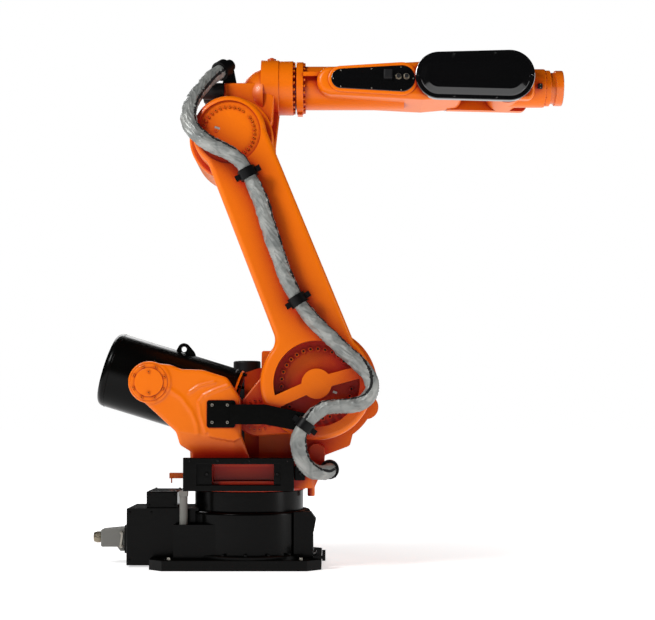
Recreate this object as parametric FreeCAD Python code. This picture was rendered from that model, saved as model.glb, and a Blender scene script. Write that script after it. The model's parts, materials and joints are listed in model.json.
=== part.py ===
import FreeCAD, Part
import math
import os

# Six-axis industrial robot arm on a floor plate, with a balancing cylinder behind its shoulder.
# Millimetres. Origin on the floor under the turntable axis, +X the way the arm reaches, +Z up.
# The lower arm, its hose and the balancer eye are on the -Y side.

V = FreeCAD.Vector

# ---- joint axes -------------------------------------------------------------------------------
shoulder_x = 298.0          # shoulder axis ahead of the turntable axis
shoulder_z = 781.0
arm_length = 1118.0         # shoulder axis to elbow axis
arm_lean = 19.2             # degrees that the lower arm leans back at rest
elbow_rise = 259.0          # forearm axis above the elbow axis
wrist_ahead = 1200.0        # bend axis of the wrist ahead of the elbow axis
flange_ahead = 250.0        # tool flange face ahead of the bend axis
trunnion_x = -403.0         # pivot of the balancing cylinder
trunnion_z = 788.0
rod_pin_radius = 284.0      # shoulder axis to the rod pin on the lower arm
rod_pin_angle = 207.4       # degrees, from +X towards +Z

lean = math.radians(arm_lean)
elbow_x = shoulder_x - arm_length * math.sin(lean)
elbow_z = shoulder_z + arm_length * math.cos(lean)
forearm_z = elbow_z + elbow_rise
wrist_x = elbow_x + wrist_ahead
flange_x = wrist_x + flange_ahead
rod_pin_x = shoulder_x + rod_pin_radius * math.cos(math.radians(rod_pin_angle))
rod_pin_z = shoulder_z + rod_pin_radius * math.sin(math.radians(rod_pin_angle))

# ---- clearances -------------------------------------------------------------------------------
seat_gap = 0.3              # running gap between two bodies at a joint face
swing_gap = 5.0             # least gap between castings that move past each other

# ---- base -------------------------------------------------------------------------------------
plate_back, plate_front = -408.0, 318.0
plate_half = 300.0
plate_thick = 45.0
plate_corner = 60.0
bolt_span_x, bolt_span_y = 600.0, 500.0
bolt_hole_radius = 13.0
column_radius = 268.0
column_top = 240.0
column_foot, column_foot_thick = 28.0, 14.0     # bolted foot ring round the column
ring_radius = 237.0
ring_top = 326.0
box_back = -517.0
box_half = 150.0
box_top = 251.0
box_lift = 8.0
upper_back, upper_front = -435.0, -302.0
upper_half = 120.0
upper_top = 322.0
hood_mid_z = 112.0
hood_back = -644.0
connector_depth = 22.0
gland_radius = 27.0
gland_length = 36.0
post_x, post_y, post_radius = -267.0, -200.0, 17.0
post_foot_top, post_top, post_head = 187.0, 306.0, 24.0
stop_block_low, stop_block_high = 155.0, 238.0
stop_block_out = 27.0       # block face beyond the column
stop_block_near, stop_block_far = -190.0, -110.0

# ---- turntable and its castings ---------------------------------------------------------------
deck_bottom = 345.0
deck_top = 450.0
deck_back, deck_front = -235.0, 330.0
deck_half = 300.0
wall_near, wall_far = 30.0, 150.0
wall_radius = 262.0
gearbox_radius = 205.0
gear_face_radius = 150.0
balancer_y = -25.0          # middle plane of the balancing cylinder
ear_outer = 275.0           # ear faces, from that plane
ear_inner = 220.0
ear_boss_radius = 88.0
cap_radius = 78.0
cap_height = 10.0
frame_back, frame_front = -255.0, 205.0
frame_low, frame_high = 335.5, 473.0
frame_thick = 50.0
frame_bar = 26.0
lip_thick, lip_sunk = 14.0, 16.0            # bolt lips inside the frame, and how far they are set back
recess_back, recess_front = -135.0, 120.0   # side recess of the turntable casting
recess_depth = 45.0
stop_pin_x, stop_pin_y, stop_pin_radius = 272.0, -40.0, 16.0
stop_pin_low = 297.0
motor_radius = 62.0
turntable_motor_x, turntable_motor_y = -25.0, 236.0
turntable_motor_top = 895.0
shoulder_motor_radius, shoulder_motor_length = 88.0, 265.0
near_ear_end = -18.0        # foremost edge of each balancer ear
far_ear_end = -135.0

# ---- balancing cylinder -----------------------------------------------------------------------
balancer_radius = 164.0
balancer_wall = 12.0
balancer_behind = 224.0     # rear end from the trunnion axis
balancer_ahead = 340.0      # open front end from the trunnion axis
front_ring_height = 10.0
trunnion_pad_radius = 85.0
trunnion_radius = 45.0
rod_radius = 30.0
rod_eye_radius = 55.0
rod_eye_half = 30.0
rod_pin_r = 32.0
rod_inner_end = 95.0        # rod end inside the cylinder, from the trunnion axis
eye_along, eye_rise = 69.0, 177.0           # lifting eye, from the trunnion axis
eye_outer, eye_bore, eye_thick = 27.0, 12.0, 24.0

# ---- lower arm --------------------------------------------------------------------------------
arm_face, arm_back = -330.0, -190.0
shoulder_hub_radius = 235.0
elbow_hub_radius = 155.0
arm_left_low, arm_left_high = 92.0, 130.0       # arm edges from the line between its two axes
arm_right_low, arm_right_high = 208.0, 150.0
arm_corner_low, arm_corner_high = 60.0, 30.0    # the right edge runs straight between these
shoulder_pocket_radius = 180.0
shoulder_pocket_depth = 60.0
centre_boss_radius = 63.0
spoke_width = 52.0
spoke_angles = (15.0, 204.0)    # degrees from +X towards +Z, at rest
elbow_dish_radius = 133.0
elbow_dish_depth = 9.0
lug_near = -234.0
lug_cover = 6.0
lug_radius = 89.0
lug_boss_radius = 57.0

# ---- elbow, forearm and wrist -----------------------------------------------------------------
drum_radius = 180.0
drum_half = 185.0
barrel_radius = 118.0
collar_radius = 122.0
elbow_seam = 132.0          # barrel to gear ring, ahead of the turntable axis
gear_ring_length = 60.0
tower_back, tower_half = 240.0, 112.0       # elbow tower behind the seam, and its half width
tower_rise = 0.0            # tower top above the forearm axis
roll_neck_radius = 92.0
roll_flange_radius = 114.0
roll_flange_length = 30.0
tube_radius = 95.0
forearm_half = 150.0
forearm_end = 190.0         # forearm body ends this far behind the bend axis
fork_gap_half = 102.0
fork_reach = 110.0
wrist_radius = 84.0
wrist_pin_radius = 70.0
cover_back, cover_front = wrist_x - 306.0, wrist_x - 2.0
cover_left_radius, cover_right_radius = 102.0, 110.0
cover_rise = 18.0
cover_thick = 38.0
window_front = cover_back - 160.0
window_length = 262.0
window_rise = 8.0
window_left_radius, window_right_radius = 43.0, 58.0
window_thick = 7.0
wrist_motor_spacing = 76.0
wrist_motor_radius, wrist_motor_length = 36.0, 97.0
flange_radius = 77.0
flange_thick = 34.0
flange_pcd, flange_count, flange_hole = 125.0, 6, 5.0
flange_spigot_radius, flange_spigot_depth = 31.5, 8.0

# ---- hose -------------------------------------------------------------------------------------
hose_radius = 30.0
clamp_thick = 9.0
clamp_width = 42.0
bracket_out = -350.0        # near face of the plate that carries the hose clamp
bracket_low, bracket_high = 598.0, 712.0
bracket_thick = 8.0

AXIS = {"X": V(1, 0, 0), "Y": V(0, 1, 0), "Z": V(0, 0, 1)}


# ---- shape helpers ----------------------------------------------------------------------------
def block(x0, x1, y0, y1, z0, z1):
    return Part.makeBox(x1 - x0, y1 - y0, z1 - z0, V(x0, y0, z0))


def drum(axis, a, b, radius, low, high):
    """Cylinder along a row axis from low to high; a and b are its other two coordinates in order."""
    start = {"X": V(low, a, b), "Y": V(a, low, b), "Z": V(a, b, low)}[axis]
    return Part.makeCylinder(radius, high - low, start, AXIS[axis])


def tube(axis, a, b, outer, inner, low, high):
    return drum(axis, a, b, outer, low, high).cut(drum(axis, a, b, inner, low, high))


def wire(corners, place):
    """Closed wire through (u, v, corner radius) points; place turns u, v into a point."""
    count = len(corners)
    runs = []
    for i in range(count):
        u, v, radius = corners[i]
        here = V(u, v, 0)
        back = V(*corners[i - 1][:2], 0) - here
        ahead = V(*corners[(i + 1) % count][:2], 0) - here
        if radius <= 0:
            runs.append((here, here, None))
            continue
        half = back.getAngle(ahead) / 2
        inset = radius / math.tan(half)
        middle = V(back).normalize() + V(ahead).normalize()
        centre = here + middle.normalize() * (radius / math.sin(half))
        bulge = centre - middle * radius
        runs.append((here + V(back).normalize() * inset, here + V(ahead).normalize() * inset, bulge))
    edges = []
    for i in range(count):
        start, end, bulge = runs[i]
        if bulge is not None:
            edges.append(Part.Arc(place(start), place(bulge), place(end)).toShape())
        following = runs[(i + 1) % count][0]
        if (following - end).Length > 1e-6:
            edges.append(Part.LineSegment(place(end), place(following)).toShape())
    return Part.Wire(edges)


def plate_y(corners, low, high):
    """Outline of (x, z, corner radius) points, thickened along Y from low to high."""
    face = Part.Face(wire(corners, lambda p: V(p.x, low, p.y)))
    return face.extrude(V(0, high - low, 0))


def plate_z(corners, low, high):
    """Outline of (x, y, corner radius) points, thickened along Z from low to high."""
    face = Part.Face(wire(corners, lambda p: V(p.x, p.y, low)))
    return face.extrude(V(0, 0, high - low))


def link_y(x0, z0, r0, x1, z1, r1, low, high):
    """Plate round two discs with straight tangent sides, from low to high along Y."""
    along = V(x1 - x0, 0, z1 - z0)
    length = along.Length
    along.normalize()
    across = V(-along.z, 0, along.x)
    tilt = (r0 - r1) / length
    side = math.sqrt(1 - tilt * tilt)
    c0, c1 = V(x0, low, z0), V(x1, low, z1)
    up = along * tilt + across * side
    down = along * tilt - across * side
    edges = [
        Part.Arc(c0 + up * r0, c0 - along * r0, c0 + down * r0).toShape(),
        Part.LineSegment(c0 + down * r0, c1 + down * r1).toShape(),
        Part.Arc(c1 + down * r1, c1 + along * r1, c1 + up * r1).toShape(),
        Part.LineSegment(c1 + up * r1, c0 + up * r0).toShape(),
    ]
    return Part.Face(Part.Wire(edges)).extrude(V(0, high - low, 0))


def joined(*shapes):
    whole = shapes[0]
    for shape in shapes[1:]:
        whole = whole.fuse(shape)
    return whole.removeSplitter()


def ring_of(shape, centre, axis, count, turn=0.0):
    """Copies of a shape set evenly round an axis."""
    copies = []
    for i in range(count):
        copy = shape.copy()
        copy.rotate(centre, axis, turn + 360.0 * i / count)
        copies.append(copy)
    return copies


def edges_at(shape, axis, value):
    """Edges that lie in the plane where one coordinate has a value."""
    low, high = {"X": ("XMin", "XMax"), "Y": ("YMin", "YMax"), "Z": ("ZMin", "ZMax")}[axis]
    found = []
    for edge in shape.Edges:
        bounds = edge.BoundBox
        if abs(getattr(bounds, low) - value) < 1e-3 and abs(getattr(bounds, high) - value) < 1e-3:
            found.append(edge)
    return found


def rounded(shape, radius, *planes):
    """Fillet on the edges in the given (axis, value) planes."""
    edges = [edge for axis, value in planes for edge in edges_at(shape, axis, value)]
    return shape.makeFillet(radius, edges)


def arm_place(shape):
    """From the upright arm frame, with the shoulder axis at its origin, to its place at rest."""
    shape.rotate(V(0, 0, 0), AXIS["Y"], -arm_lean)
    shape.translate(V(shoulder_x, 0, shoulder_z))
    return shape


# ---- base -------------------------------------------------------------------------------------
def base_plate():
    c = plate_corner
    outline = [
        (plate_back, -plate_half + c, 0), (plate_back + c, -plate_half, 0),
        (plate_front - c, -plate_half, 0), (plate_front, -plate_half + c, 0),
        (plate_front, plate_half - c, 0), (plate_front - c, plate_half, 0),
        (plate_back + c, plate_half, 0), (plate_back, plate_half - c, 0),
    ]
    plate = plate_z(outline, 0, plate_thick)
    middle = (plate_back + plate_front) / 2
    for sx in (-1, 1):
        for sy in (-1, 1):
            x, y = middle + sx * bolt_span_x / 2, sy * bolt_span_y / 2
            plate = plate.cut(drum("Z", x, y, bolt_hole_radius, 0, plate_thick))
    return rounded(plate, 3, ("Z", plate_thick))


def base_column():
    column = drum("Z", 0, 0, column_radius, plate_thick, column_top)
    column = column.makeFillet(12, edges_at(column, "Z", column_top))
    foot = block(post_x - 40, 0, post_y - 35, post_y + 50, plate_thick, post_foot_top)
    flange = drum("Z", 0, 0, column_radius + column_foot, plate_thick, plate_thick + column_foot_thick)
    flange = flange.makeChamfer(4, edges_at(flange, "Z", plate_thick + column_foot_thick))
    return joined(column, foot, flange)


def base_ring():
    ring = drum("Z", 0, 0, ring_radius, column_top, ring_top)
    return ring.makeChamfer(4, edges_at(ring, "Z", ring_top))


def rear_box():
    shell = block(box_back, -column_radius + 60, -box_half, box_half, box_lift, box_top)
    shell = shell.cut(block(plate_back, 0, -box_half, box_half, 0, plate_thick))
    shell = shell.cut(drum("Z", 0, 0, column_radius, 0, column_top))
    shell = shell.cut(drum("Z", 0, 0, column_radius + column_foot, 0, plate_thick + column_foot_thick))
    shell = shell.cut(drum("Z", 0, 0, ring_radius, column_top, ring_top))
    edges = edges_at(shell, "Z", box_top) + edges_at(shell, "X", box_back)
    return shell.makeFillet(5, [e for e in edges if e.BoundBox.XMax < -ring_radius - 20])


def rear_upper_box():
    shell = block(upper_back, upper_front, -upper_half, upper_half, box_top, upper_top)
    return rounded(shell, 6, ("Z", upper_top))


def connector_base():
    face = block(box_back - connector_depth, box_back, -48, 48, hood_mid_z - 62, hood_mid_z + 58)
    lever = block(box_back - connector_depth - 14, box_back - connector_depth, -58, -48,
                  hood_mid_z - 22, hood_mid_z + 22)
    return joined(face, lever.translated(V(14, 0, 0)), lever.translated(V(14, 106, 0)))


def connector_hood():
    x0, x1 = hood_back, box_back - connector_depth
    outline = [(x0, hood_mid_z - 36, 8), (x1 - 34, hood_mid_z - 36, 4), (x1 - 20, hood_mid_z - 54, 3),
               (x1, hood_mid_z - 54, 0), (x1, hood_mid_z + 48, 0), (x1 - 20, hood_mid_z + 48, 3),
               (x0, hood_mid_z + 40, 8)]
    return rounded(plate_y(outline, -42, 42), 6, ("Y", -42.0), ("Y", 42.0))


def cable_gland():
    collar = drum("X", 0, hood_mid_z + 4, gland_radius - 4, hood_back - 8, hood_back)
    nut = hexagon_x(hood_back - 8 - 16, hood_back - 8, gland_radius)
    dome = drum("X", 0, hood_mid_z + 4, gland_radius - 5, hood_back - gland_length, hood_back - 24)
    dome = dome.makeFillet(6, edges_at(dome, "X", hood_back - gland_length))
    bore = drum("X", 0, hood_mid_z + 4, gland_radius - 15, hood_back - gland_length, hood_back)
    return joined(collar, nut, dome).cut(bore)


def hexagon_x(low, high, radius):
    points = [V(low, radius * math.cos(math.radians(60 * i)),
                hood_mid_z + 4 + radius * math.sin(math.radians(60 * i))) for i in range(7)]
    return Part.Face(Part.makePolygon(points)).extrude(V(high - low, 0, 0))


def stop_post():
    post = drum("Z", post_x, post_y, post_radius, post_foot_top, post_top)
    h = post_radius + 1
    head = block(post_x - h, post_x + h, post_y - h, post_y + h, post_top, post_top + post_head)
    return joined(post, rounded(head, 3, ("Z", post_top + post_head)))


def front_stop_block():
    """Flared block on the column's front, above its black foot."""
    x0, x1 = column_radius - 68, column_radius + stop_block_out
    body = plate_y([(x0, stop_block_low, 0), (x1 - 10, stop_block_low, 3), (x1, stop_block_high - 30, 6),
                    (x1 - 22, stop_block_high, 6), (x0, stop_block_high, 0)],
                   stop_block_near, stop_block_far)
    foot = block(x0, x1 - 12, stop_block_near, stop_block_far, plate_thick, stop_block_low)
    whole = joined(body, foot)
    whole = whole.cut(drum("Z", 0, 0, column_radius, plate_thick, column_top))
    return whole.cut(drum("Z", 0, 0, column_radius + column_foot, plate_thick,
                          plate_thick + column_foot_thick))


def front_foot_bracket():
    """Small angle bracket that laps over the front edge of the plate."""
    low, high = -238, -194
    lap = block(plate_front - 34, plate_front + 17, low, high, plate_thick, plate_thick + 10)
    lug = block(plate_front + 3, plate_front + 17, low, high, plate_thick - 8, plate_thick + 34)
    return joined(lap, lug)


# ---- carousel ---------------------------------------------------------------------------------
def carousel_turntable():
    disc = drum("Z", 0, 0, ring_radius + 8, ring_top + seat_gap, deck_bottom)
    outline = [(deck_back, -deck_half, 40), (deck_front - 40, -deck_half, 60),
               (deck_front, -deck_half + 120, 60), (deck_front, deck_half - 120, 60),
               (deck_front - 40, deck_half, 60), (deck_back, deck_half, 40)]
    deck = plate_z(outline, deck_bottom, deck_top)
    slope = plate_y([(deck_front - 42, deck_bottom - 1, 0), (deck_front + 50, deck_bottom - 1, 0),
                     (deck_front + 50, deck_top - 12, 0), (deck_front, deck_top - 12, 0)],
                    -deck_half - 1, deck_half + 1)
    deck = deck.cut(slope)
    for side in (-1, 1):
        face = side * deck_half
        inner = face - side * recess_depth
        recess = block(recess_back, recess_front, min(face, inner), max(face, inner),
                       frame_low + frame_bar + 12, deck_top - 14)
        deck = deck.cut(recess)
    swing = drum("Y", shoulder_x, shoulder_z, rod_pin_radius + lug_radius + 8, lug_near - lug_cover - 8,
                 arm_back + 8)
    return joined(disc, deck.cut(swing))


def stop_pin():
    shank = drum("Z", stop_pin_x, stop_pin_y, stop_pin_radius, stop_pin_low, deck_bottom)
    return shank.makeChamfer(3, edges_at(shank, "Z", stop_pin_low))


def shoulder_casting():
    """Upright wall behind the lower arm that carries the shoulder gearbox."""
    disc = drum("Y", shoulder_x + 4, shoulder_z - 4, wall_radius, wall_near, wall_far)
    web = plate_y([(40, deck_top, 0), (deck_front, deck_top, 0), (deck_front + 2, deck_top + 22, 8),
                   (deck_front + 112, deck_top + 64, 20), (shoulder_x + 200, shoulder_z - 40, 60),
                   (shoulder_x, shoulder_z + 60, 30), (40, shoulder_z + 20, 20)],
                  wall_near, wall_far)
    horn = plate_y([(48, shoulder_z - 60, 0), (112, shoulder_z - 60, 0), (118, shoulder_z + 152, 10),
                    (52, shoulder_z + 152, 10)], wall_near, wall_far)
    lobe = drum("Y", shoulder_x + 216, shoulder_z - 96, 54, wall_near, wall_far)
    wall = joined(disc, web, horn, lobe)
    foot = plate_y([(deck_front - 66, deck_top, 0), (deck_front, deck_top, 0), (deck_front, deck_top + 60, 10),
                    (deck_front - 66, deck_top + 100, 30)], -150, wall_near)
    web = plate_y([(-30, deck_top, 0), (-30, shoulder_z + 57, 10), (62, shoulder_z + 87, 20),
                   (62, deck_top, 0)], wall_far - 22, wall_far)
    return joined(wall, foot, web)


def shoulder_gearbox():
    body = drum("Y", shoulder_x, shoulder_z, gearbox_radius, arm_back + swing_gap, wall_near)
    nose = drum("Y", shoulder_x, shoulder_z, gear_face_radius, arm_back + seat_gap, arm_back + swing_gap)
    whole = joined(body, nose)
    return whole.cut(shoulder_casting())


def motor_y(x, z, radius, low, high):
    """Servo motor along +Y: square flange, round body and end cap."""
    flange = block(x - radius, x + radius, low, low + 18, z - radius, z + radius)
    flange = flange.makeFillet(12, [e for e in flange.Edges if abs(e.BoundBox.YLength - 18) < 1e-6])
    body = drum("Y", x, z, radius * 0.92, low + 18, high - 40)
    cap = drum("Y", x, z, radius * 0.98, high - 40, high)
    cap = cap.makeFillet(8, edges_at(cap, "Y", high))
    plug = block(x - 22, x + 22, high - 34, high - 6, z + radius * 0.8, z + radius * 0.98 + 34)
    return joined(flange, body, cap, plug)


def shoulder_motor():
    return motor_y(shoulder_x, shoulder_z, shoulder_motor_radius, wall_far, wall_far + shoulder_motor_length)


def turntable_motor():
    x, y, r = turntable_motor_x, turntable_motor_y, motor_radius
    flange = block(x - r, x + r, y - r, y + r, deck_top, deck_top + 60)
    flange = flange.makeFillet(12, [e for e in flange.Edges if abs(e.BoundBox.ZLength - 60) < 1e-6])
    body = drum("Z", x, y, r * 0.92, deck_top + 60, turntable_motor_top - 60)
    cap = drum("Z", x, y, r, turntable_motor_top - 60, turntable_motor_top)
    cap = cap.makeFillet(8, edges_at(cap, "Z", turntable_motor_top))
    return joined(flange, body, cap)


def ear_outline(right_end):
    """Side view of a balancer ear, from the trunnion down to the deck."""
    t, z = trunnion_x, trunnion_z
    run = right_end - t
    return [
        (t - 12, z + 84, 30), (t + 0.22 * run, z + 74, 60), (t + 0.35 * run, z + 55, 40),
        (t + 0.58 * run, z + 52, 40), (right_end - 60, z + 20, 40), (right_end, z - 72, 25),
        (right_end, deck_top + 118, 20), (right_end + 40, deck_top, 0), (t + 0.46 * run, deck_top, 0),
        (t + 0.455 * run, deck_top + 45, 20), (t + 0.33 * run, deck_top + 75, 20),
        (t + 0.29 * run, deck_top + 130, 30), (t - 20, z - 86, 60), (t - 84, z - 30, 50),
        (t - 84, z + 40, 50),
    ]


def balancer_ear(side, right_end):
    """Ear casting on one side of the balancing cylinder: side is -1 near, +1 far."""
    outer = balancer_y + side * ear_outer
    inner = balancer_y + side * ear_inner
    low, high = min(outer, inner), max(outer, inner)
    plate = plate_y(ear_outline(right_end), low, high)
    plate = plate.makeFillet(12, [e for e in edges_at(plate, "Y", outer) if e.BoundBox.ZMin > deck_top + 1])
    hub = drum("Y", trunnion_x, trunnion_z, ear_boss_radius, low, high)
    inner_face = balancer_y + side * (balancer_radius + 13 + seat_gap)
    boss = drum("Y", trunnion_x, trunnion_z, ear_boss_radius, min(inner_face, inner), max(inner_face, inner))
    ear = joined(plate, hub, boss)
    bore = drum("Y", trunnion_x, trunnion_z, trunnion_radius + seat_gap, min(inner_face, outer),
                max(inner_face, outer))
    return ear.cut(bore)


def trunnion_cap(side):
    outer = balancer_y + side * ear_outer
    face = outer + side * cap_height
    cap = drum("Y", trunnion_x, trunnion_z, cap_radius, min(outer, face), max(outer, face))
    cap = cap.makeFillet(4, edges_at(cap, "Y", face))
    step = drum("Y", trunnion_x, trunnion_z, cap_radius - 18, min(face, face + side * 5),
                max(face, face + side * 5))
    step = step.makeFillet(2, edges_at(step, "Y", face + side * 5))
    return joined(cap, step)


def side_frame(side):
    """Black steel frame bolted along one side of the turntable."""
    inner = side * deck_half
    outer = side * (deck_half + frame_thick)
    low, high = min(inner, outer), max(inner, outer)
    top = block(frame_back, frame_front, low, high, frame_high - frame_bar, frame_high)
    bottom = block(frame_back, frame_front, low, high, frame_low, frame_low + frame_bar)
    posts = [block(x, x + 56, low, high, frame_low + frame_bar, frame_high - frame_bar)
             for x in (frame_back, frame_front - 56)]
    near, far = outer - side * lip_sunk, outer - side * (lip_sunk + lip_thick)
    lip_low, lip_high = min(near, far), max(near, far)
    lips = [block(frame_back + 56, frame_back + 118, lip_low, lip_high, frame_low + frame_bar,
                  frame_high - frame_bar),
            block(frame_front - 84, frame_front - 56, lip_low, lip_high, frame_low + frame_bar,
                  frame_high - frame_bar)]
    frame = joined(top, bottom, *posts, *lips)
    return rounded(frame, 3, ("Y", outer))


def rear_tab():
    plate = block(deck_back - 139, deck_back, 196, 240, 362, 386)
    rod = drum("Z", deck_back - 131, 218, 3, 340, 362)
    return joined(plate, rod)


# ---- balancing cylinder, built along +X through its trunnion, then tilted towards the rod pin ---
balancer_tilt = math.degrees(math.atan2(trunnion_z - rod_pin_z, rod_pin_x - trunnion_x))


def balancer_place(shape):
    shape.rotate(V(0, 0, 0), AXIS["Y"], balancer_tilt)
    shape.translate(V(trunnion_x, 0, trunnion_z))
    return shape


def balancer_shell():
    can = drum("X", balancer_y, 0, balancer_radius, -balancer_behind, balancer_ahead)
    can = can.makeFillet(26, edges_at(can, "X", -balancer_behind))
    pads = [drum("Y", 0, 0, trunnion_pad_radius, balancer_y, balancer_y + balancer_radius + 13),
            drum("Y", 0, 0, trunnion_pad_radius, balancer_y - balancer_radius - 13, balancer_y)]
    reach = ear_outer - 4
    pins = [drum("Y", 0, 0, trunnion_radius, balancer_y, balancer_y + reach),
            drum("Y", 0, 0, trunnion_radius, balancer_y - reach, balancer_y)]
    inside = drum("X", balancer_y, 0, balancer_radius - balancer_wall, -balancer_behind + 30,
                  balancer_ahead)
    shell = joined(can, *pads, *pins).cut(inside)
    return balancer_place(shell)


def balancer_front_ring():
    ring = tube("X", balancer_y, 0, balancer_radius - 1, balancer_radius - balancer_wall,
                balancer_ahead, balancer_ahead + front_ring_height)
    return balancer_place(ring)


def lifting_eye():
    """Lug with a shackle hole, welded on top of the cylinder."""
    low, high = balancer_y - eye_thick / 2, balancer_y + eye_thick / 2
    lug = link_y(eye_along, eye_rise, eye_outer, eye_along + 14, balancer_radius - 20, eye_outer + 20,
                 low, high)
    lug = lug.cut(drum("X", balancer_y, 0, balancer_radius, 0, 2 * eye_along))
    lug = lug.cut(drum("Y", eye_along, eye_rise, eye_bore, low, high))
    return balancer_place(lug)


def balancer_rod():
    """Rod from inside the cylinder to its eye on the lower arm's pin."""
    pin = math.hypot(rod_pin_x - trunnion_x, rod_pin_z - trunnion_z)
    low, high = balancer_y - rod_eye_half, balancer_y + rod_eye_half
    rod = drum("X", balancer_y, 0, rod_radius, rod_inner_end, pin - rod_eye_radius + 12)
    eye = drum("Y", pin, 0, rod_eye_radius, low, high)
    eye = rounded(eye, 4, ("Y", low), ("Y", high))
    whole = joined(rod, eye).cut(drum("Y", pin, 0, rod_pin_r + seat_gap, low, high))
    return balancer_place(whole)


# ---- lower arm, built upright with the shoulder axis at its origin -----------------------------
def local_rod_pin():
    dx, dz = rod_pin_x - shoulder_x, rod_pin_z - shoulder_z
    return (dx * math.cos(lean) + dz * math.sin(lean), -dx * math.sin(lean) + dz * math.cos(lean))


def lower_arm():
    top = arm_length
    shaft = plate_y([(-arm_left_low, 0, 0), (arm_right_low, arm_corner_low, 0),
                     (arm_right_high, top - arm_corner_high, 0), (-arm_left_high, top, 0)], arm_face, arm_back)
    foot = drum("Y", 0, 0, shoulder_hub_radius, arm_face, arm_back)
    head = drum("Y", 0, top, elbow_hub_radius, arm_face, arm_back)
    body = joined(shaft, foot, head)
    upright = [e for e in body.Edges
               if abs(e.BoundBox.YLength - (arm_back - arm_face)) < 1e-3 and len(e.Vertexes) == 2
               and e.BoundBox.XLength < 1e-3 and e.BoundBox.ZLength < 1e-3]
    hollow = [e for e in upright if 100 < e.BoundBox.ZMin < top - 40]
    body = body.makeFillet(70, hollow)
    body = rounded(body, 22, ("Y", arm_face))
    body = rounded(body, 8, ("Y", arm_back))
    pocket = drum("Y", 0, 0, shoulder_pocket_radius, arm_face, arm_face + shoulder_pocket_depth)
    boss = drum("Y", 0, 0, centre_boss_radius, arm_face, arm_face + shoulder_pocket_depth)
    recess = pocket.cut(boss)
    for angle in spoke_angles:
        spoke = block(0, shoulder_pocket_radius + 10, arm_face, arm_face + shoulder_pocket_depth,
                      -spoke_width / 2, spoke_width / 2)
        spoke.rotate(V(0, 0, 0), AXIS["Y"], arm_lean - angle)
        recess = recess.cut(spoke)
    body = body.cut(recess)
    dish = drum("Y", 0, top, elbow_dish_radius, arm_face, arm_face + elbow_dish_depth)
    body = body.cut(dish)
    u, w = local_rod_pin()
    lug = link_y(0, 0, shoulder_hub_radius - 35, u, w, lug_radius, lug_near, arm_back)
    lug = rounded(lug, 8, ("Y", lug_near), ("Y", arm_back))
    return arm_place(joined(body, lug))


def rod_pin():
    """Pin that the balancer rod hangs on, pressed into a boss on the arm's lug."""
    low, high = arm_back, balancer_y - rod_eye_half - 6
    boss = drum("Y", rod_pin_x, rod_pin_z, lug_boss_radius, low, high)
    pin = drum("Y", rod_pin_x, rod_pin_z, rod_pin_r, low, balancer_y + rod_eye_half + 10)
    washer = drum("Y", rod_pin_x, rod_pin_z, rod_pin_r + 12, balancer_y + rod_eye_half + 2,
                  balancer_y + rod_eye_half + 10)
    return joined(boss, pin, washer)


def rod_pin_cover():
    radius = rod_pin_radius - shoulder_hub_radius - 3
    cover = drum("Y", rod_pin_x, rod_pin_z, radius, lug_near - lug_cover, lug_near)
    return cover.makeFillet(2, edges_at(cover, "Y", lug_near - lug_cover))


# ---- elbow ------------------------------------------------------------------------------------
def elbow_housing():
    ex, ez, fz = elbow_x, elbow_z, forearm_z
    near = arm_back + swing_gap
    main = drum("Y", ex, ez, drum_radius, near, drum_half - 50)
    main = rounded(main, 10, ("Y", near), ("Y", drum_half - 50.0))
    face = drum("Y", ex, ez, 120, arm_back + seat_gap, near + 1)
    back = elbow_seam - tower_back
    tower = plate_y([(back, ez, 0), (elbow_seam - 30, ez + 60, 60), (elbow_seam - 20, fz - 60, 0),
                     (elbow_seam - 90, fz + tower_rise, 20), (back, fz + tower_rise, 6)],
                    -tower_half, tower_half)
    tower = rounded(tower, 10, ("Y", -tower_half), ("Y", tower_half))
    barrel = drum("X", 0, fz, barrel_radius, elbow_seam - 80, elbow_seam)
    collar = drum("X", 0, fz, collar_radius, elbow_seam - 80, elbow_seam - 2)
    collar = collar.makeFillet(3, edges_at(collar, "X", elbow_seam - 2.0))
    dome = Part.makeSphere(barrel_radius + 12, V(elbow_seam - 50, 0, fz - 46))
    dome = dome.common(block(back, elbow_seam - 70, -200, 200, ez, fz + 200))
    web = plate_y([(elbow_seam - 90, ez - 20, 0), (elbow_seam - 22, ez - 18, 8),
                   (elbow_seam - 3, fz - 112, 4), (elbow_seam - 90, fz - 80, 0)], -40, 60)
    boss = drum("Z", elbow_seam - 36, 0, 20, fz, fz + collar_radius + 7)
    return joined(main, face, tower, barrel, collar, dome, web, boss)


def elbow_gear_ring():
    x0, x1 = elbow_seam, elbow_seam + gear_ring_length
    ring = drum("X", 0, forearm_z, barrel_radius, x0, x1)
    return ring.makeFillet(2, edges_at(ring, "X", x1))


def elbow_motor():
    return motor_y(elbow_x, elbow_z, 80, drum_half - 50, drum_half + 180)


def wrist_motors():
    """Three drive motors for the wrist, on the back of the elbow housing."""
    back = elbow_seam - tower_back
    motors = []
    for place in (-1, 0, 1):
        body = drum("X", place * wrist_motor_spacing, forearm_z - 30, wrist_motor_radius,
                    back - wrist_motor_length, back)
        motors.append(body.makeFillet(6, edges_at(body, "X", back - wrist_motor_length)))
    return Part.makeCompound(motors)


# ---- forearm, wrist and tool flange -----------------------------------------------------------
def forearm_flange():
    x0 = elbow_seam + gear_ring_length + seat_gap
    x1 = elbow_seam + gear_ring_length + 15
    neck = drum("X", 0, forearm_z, roll_neck_radius, x0, x1)
    ring = drum("X", 0, forearm_z, roll_flange_radius, x1, x1 + roll_flange_length)
    ring = rounded(ring, 2, ("X", x1), ("X", x1 + roll_flange_length))
    stop = block(x1 + 4, x1 + 26, -22, 22, forearm_z - roll_flange_radius - 8,
                 forearm_z - roll_flange_radius + 12)
    return joined(neck, ring, stop)


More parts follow.
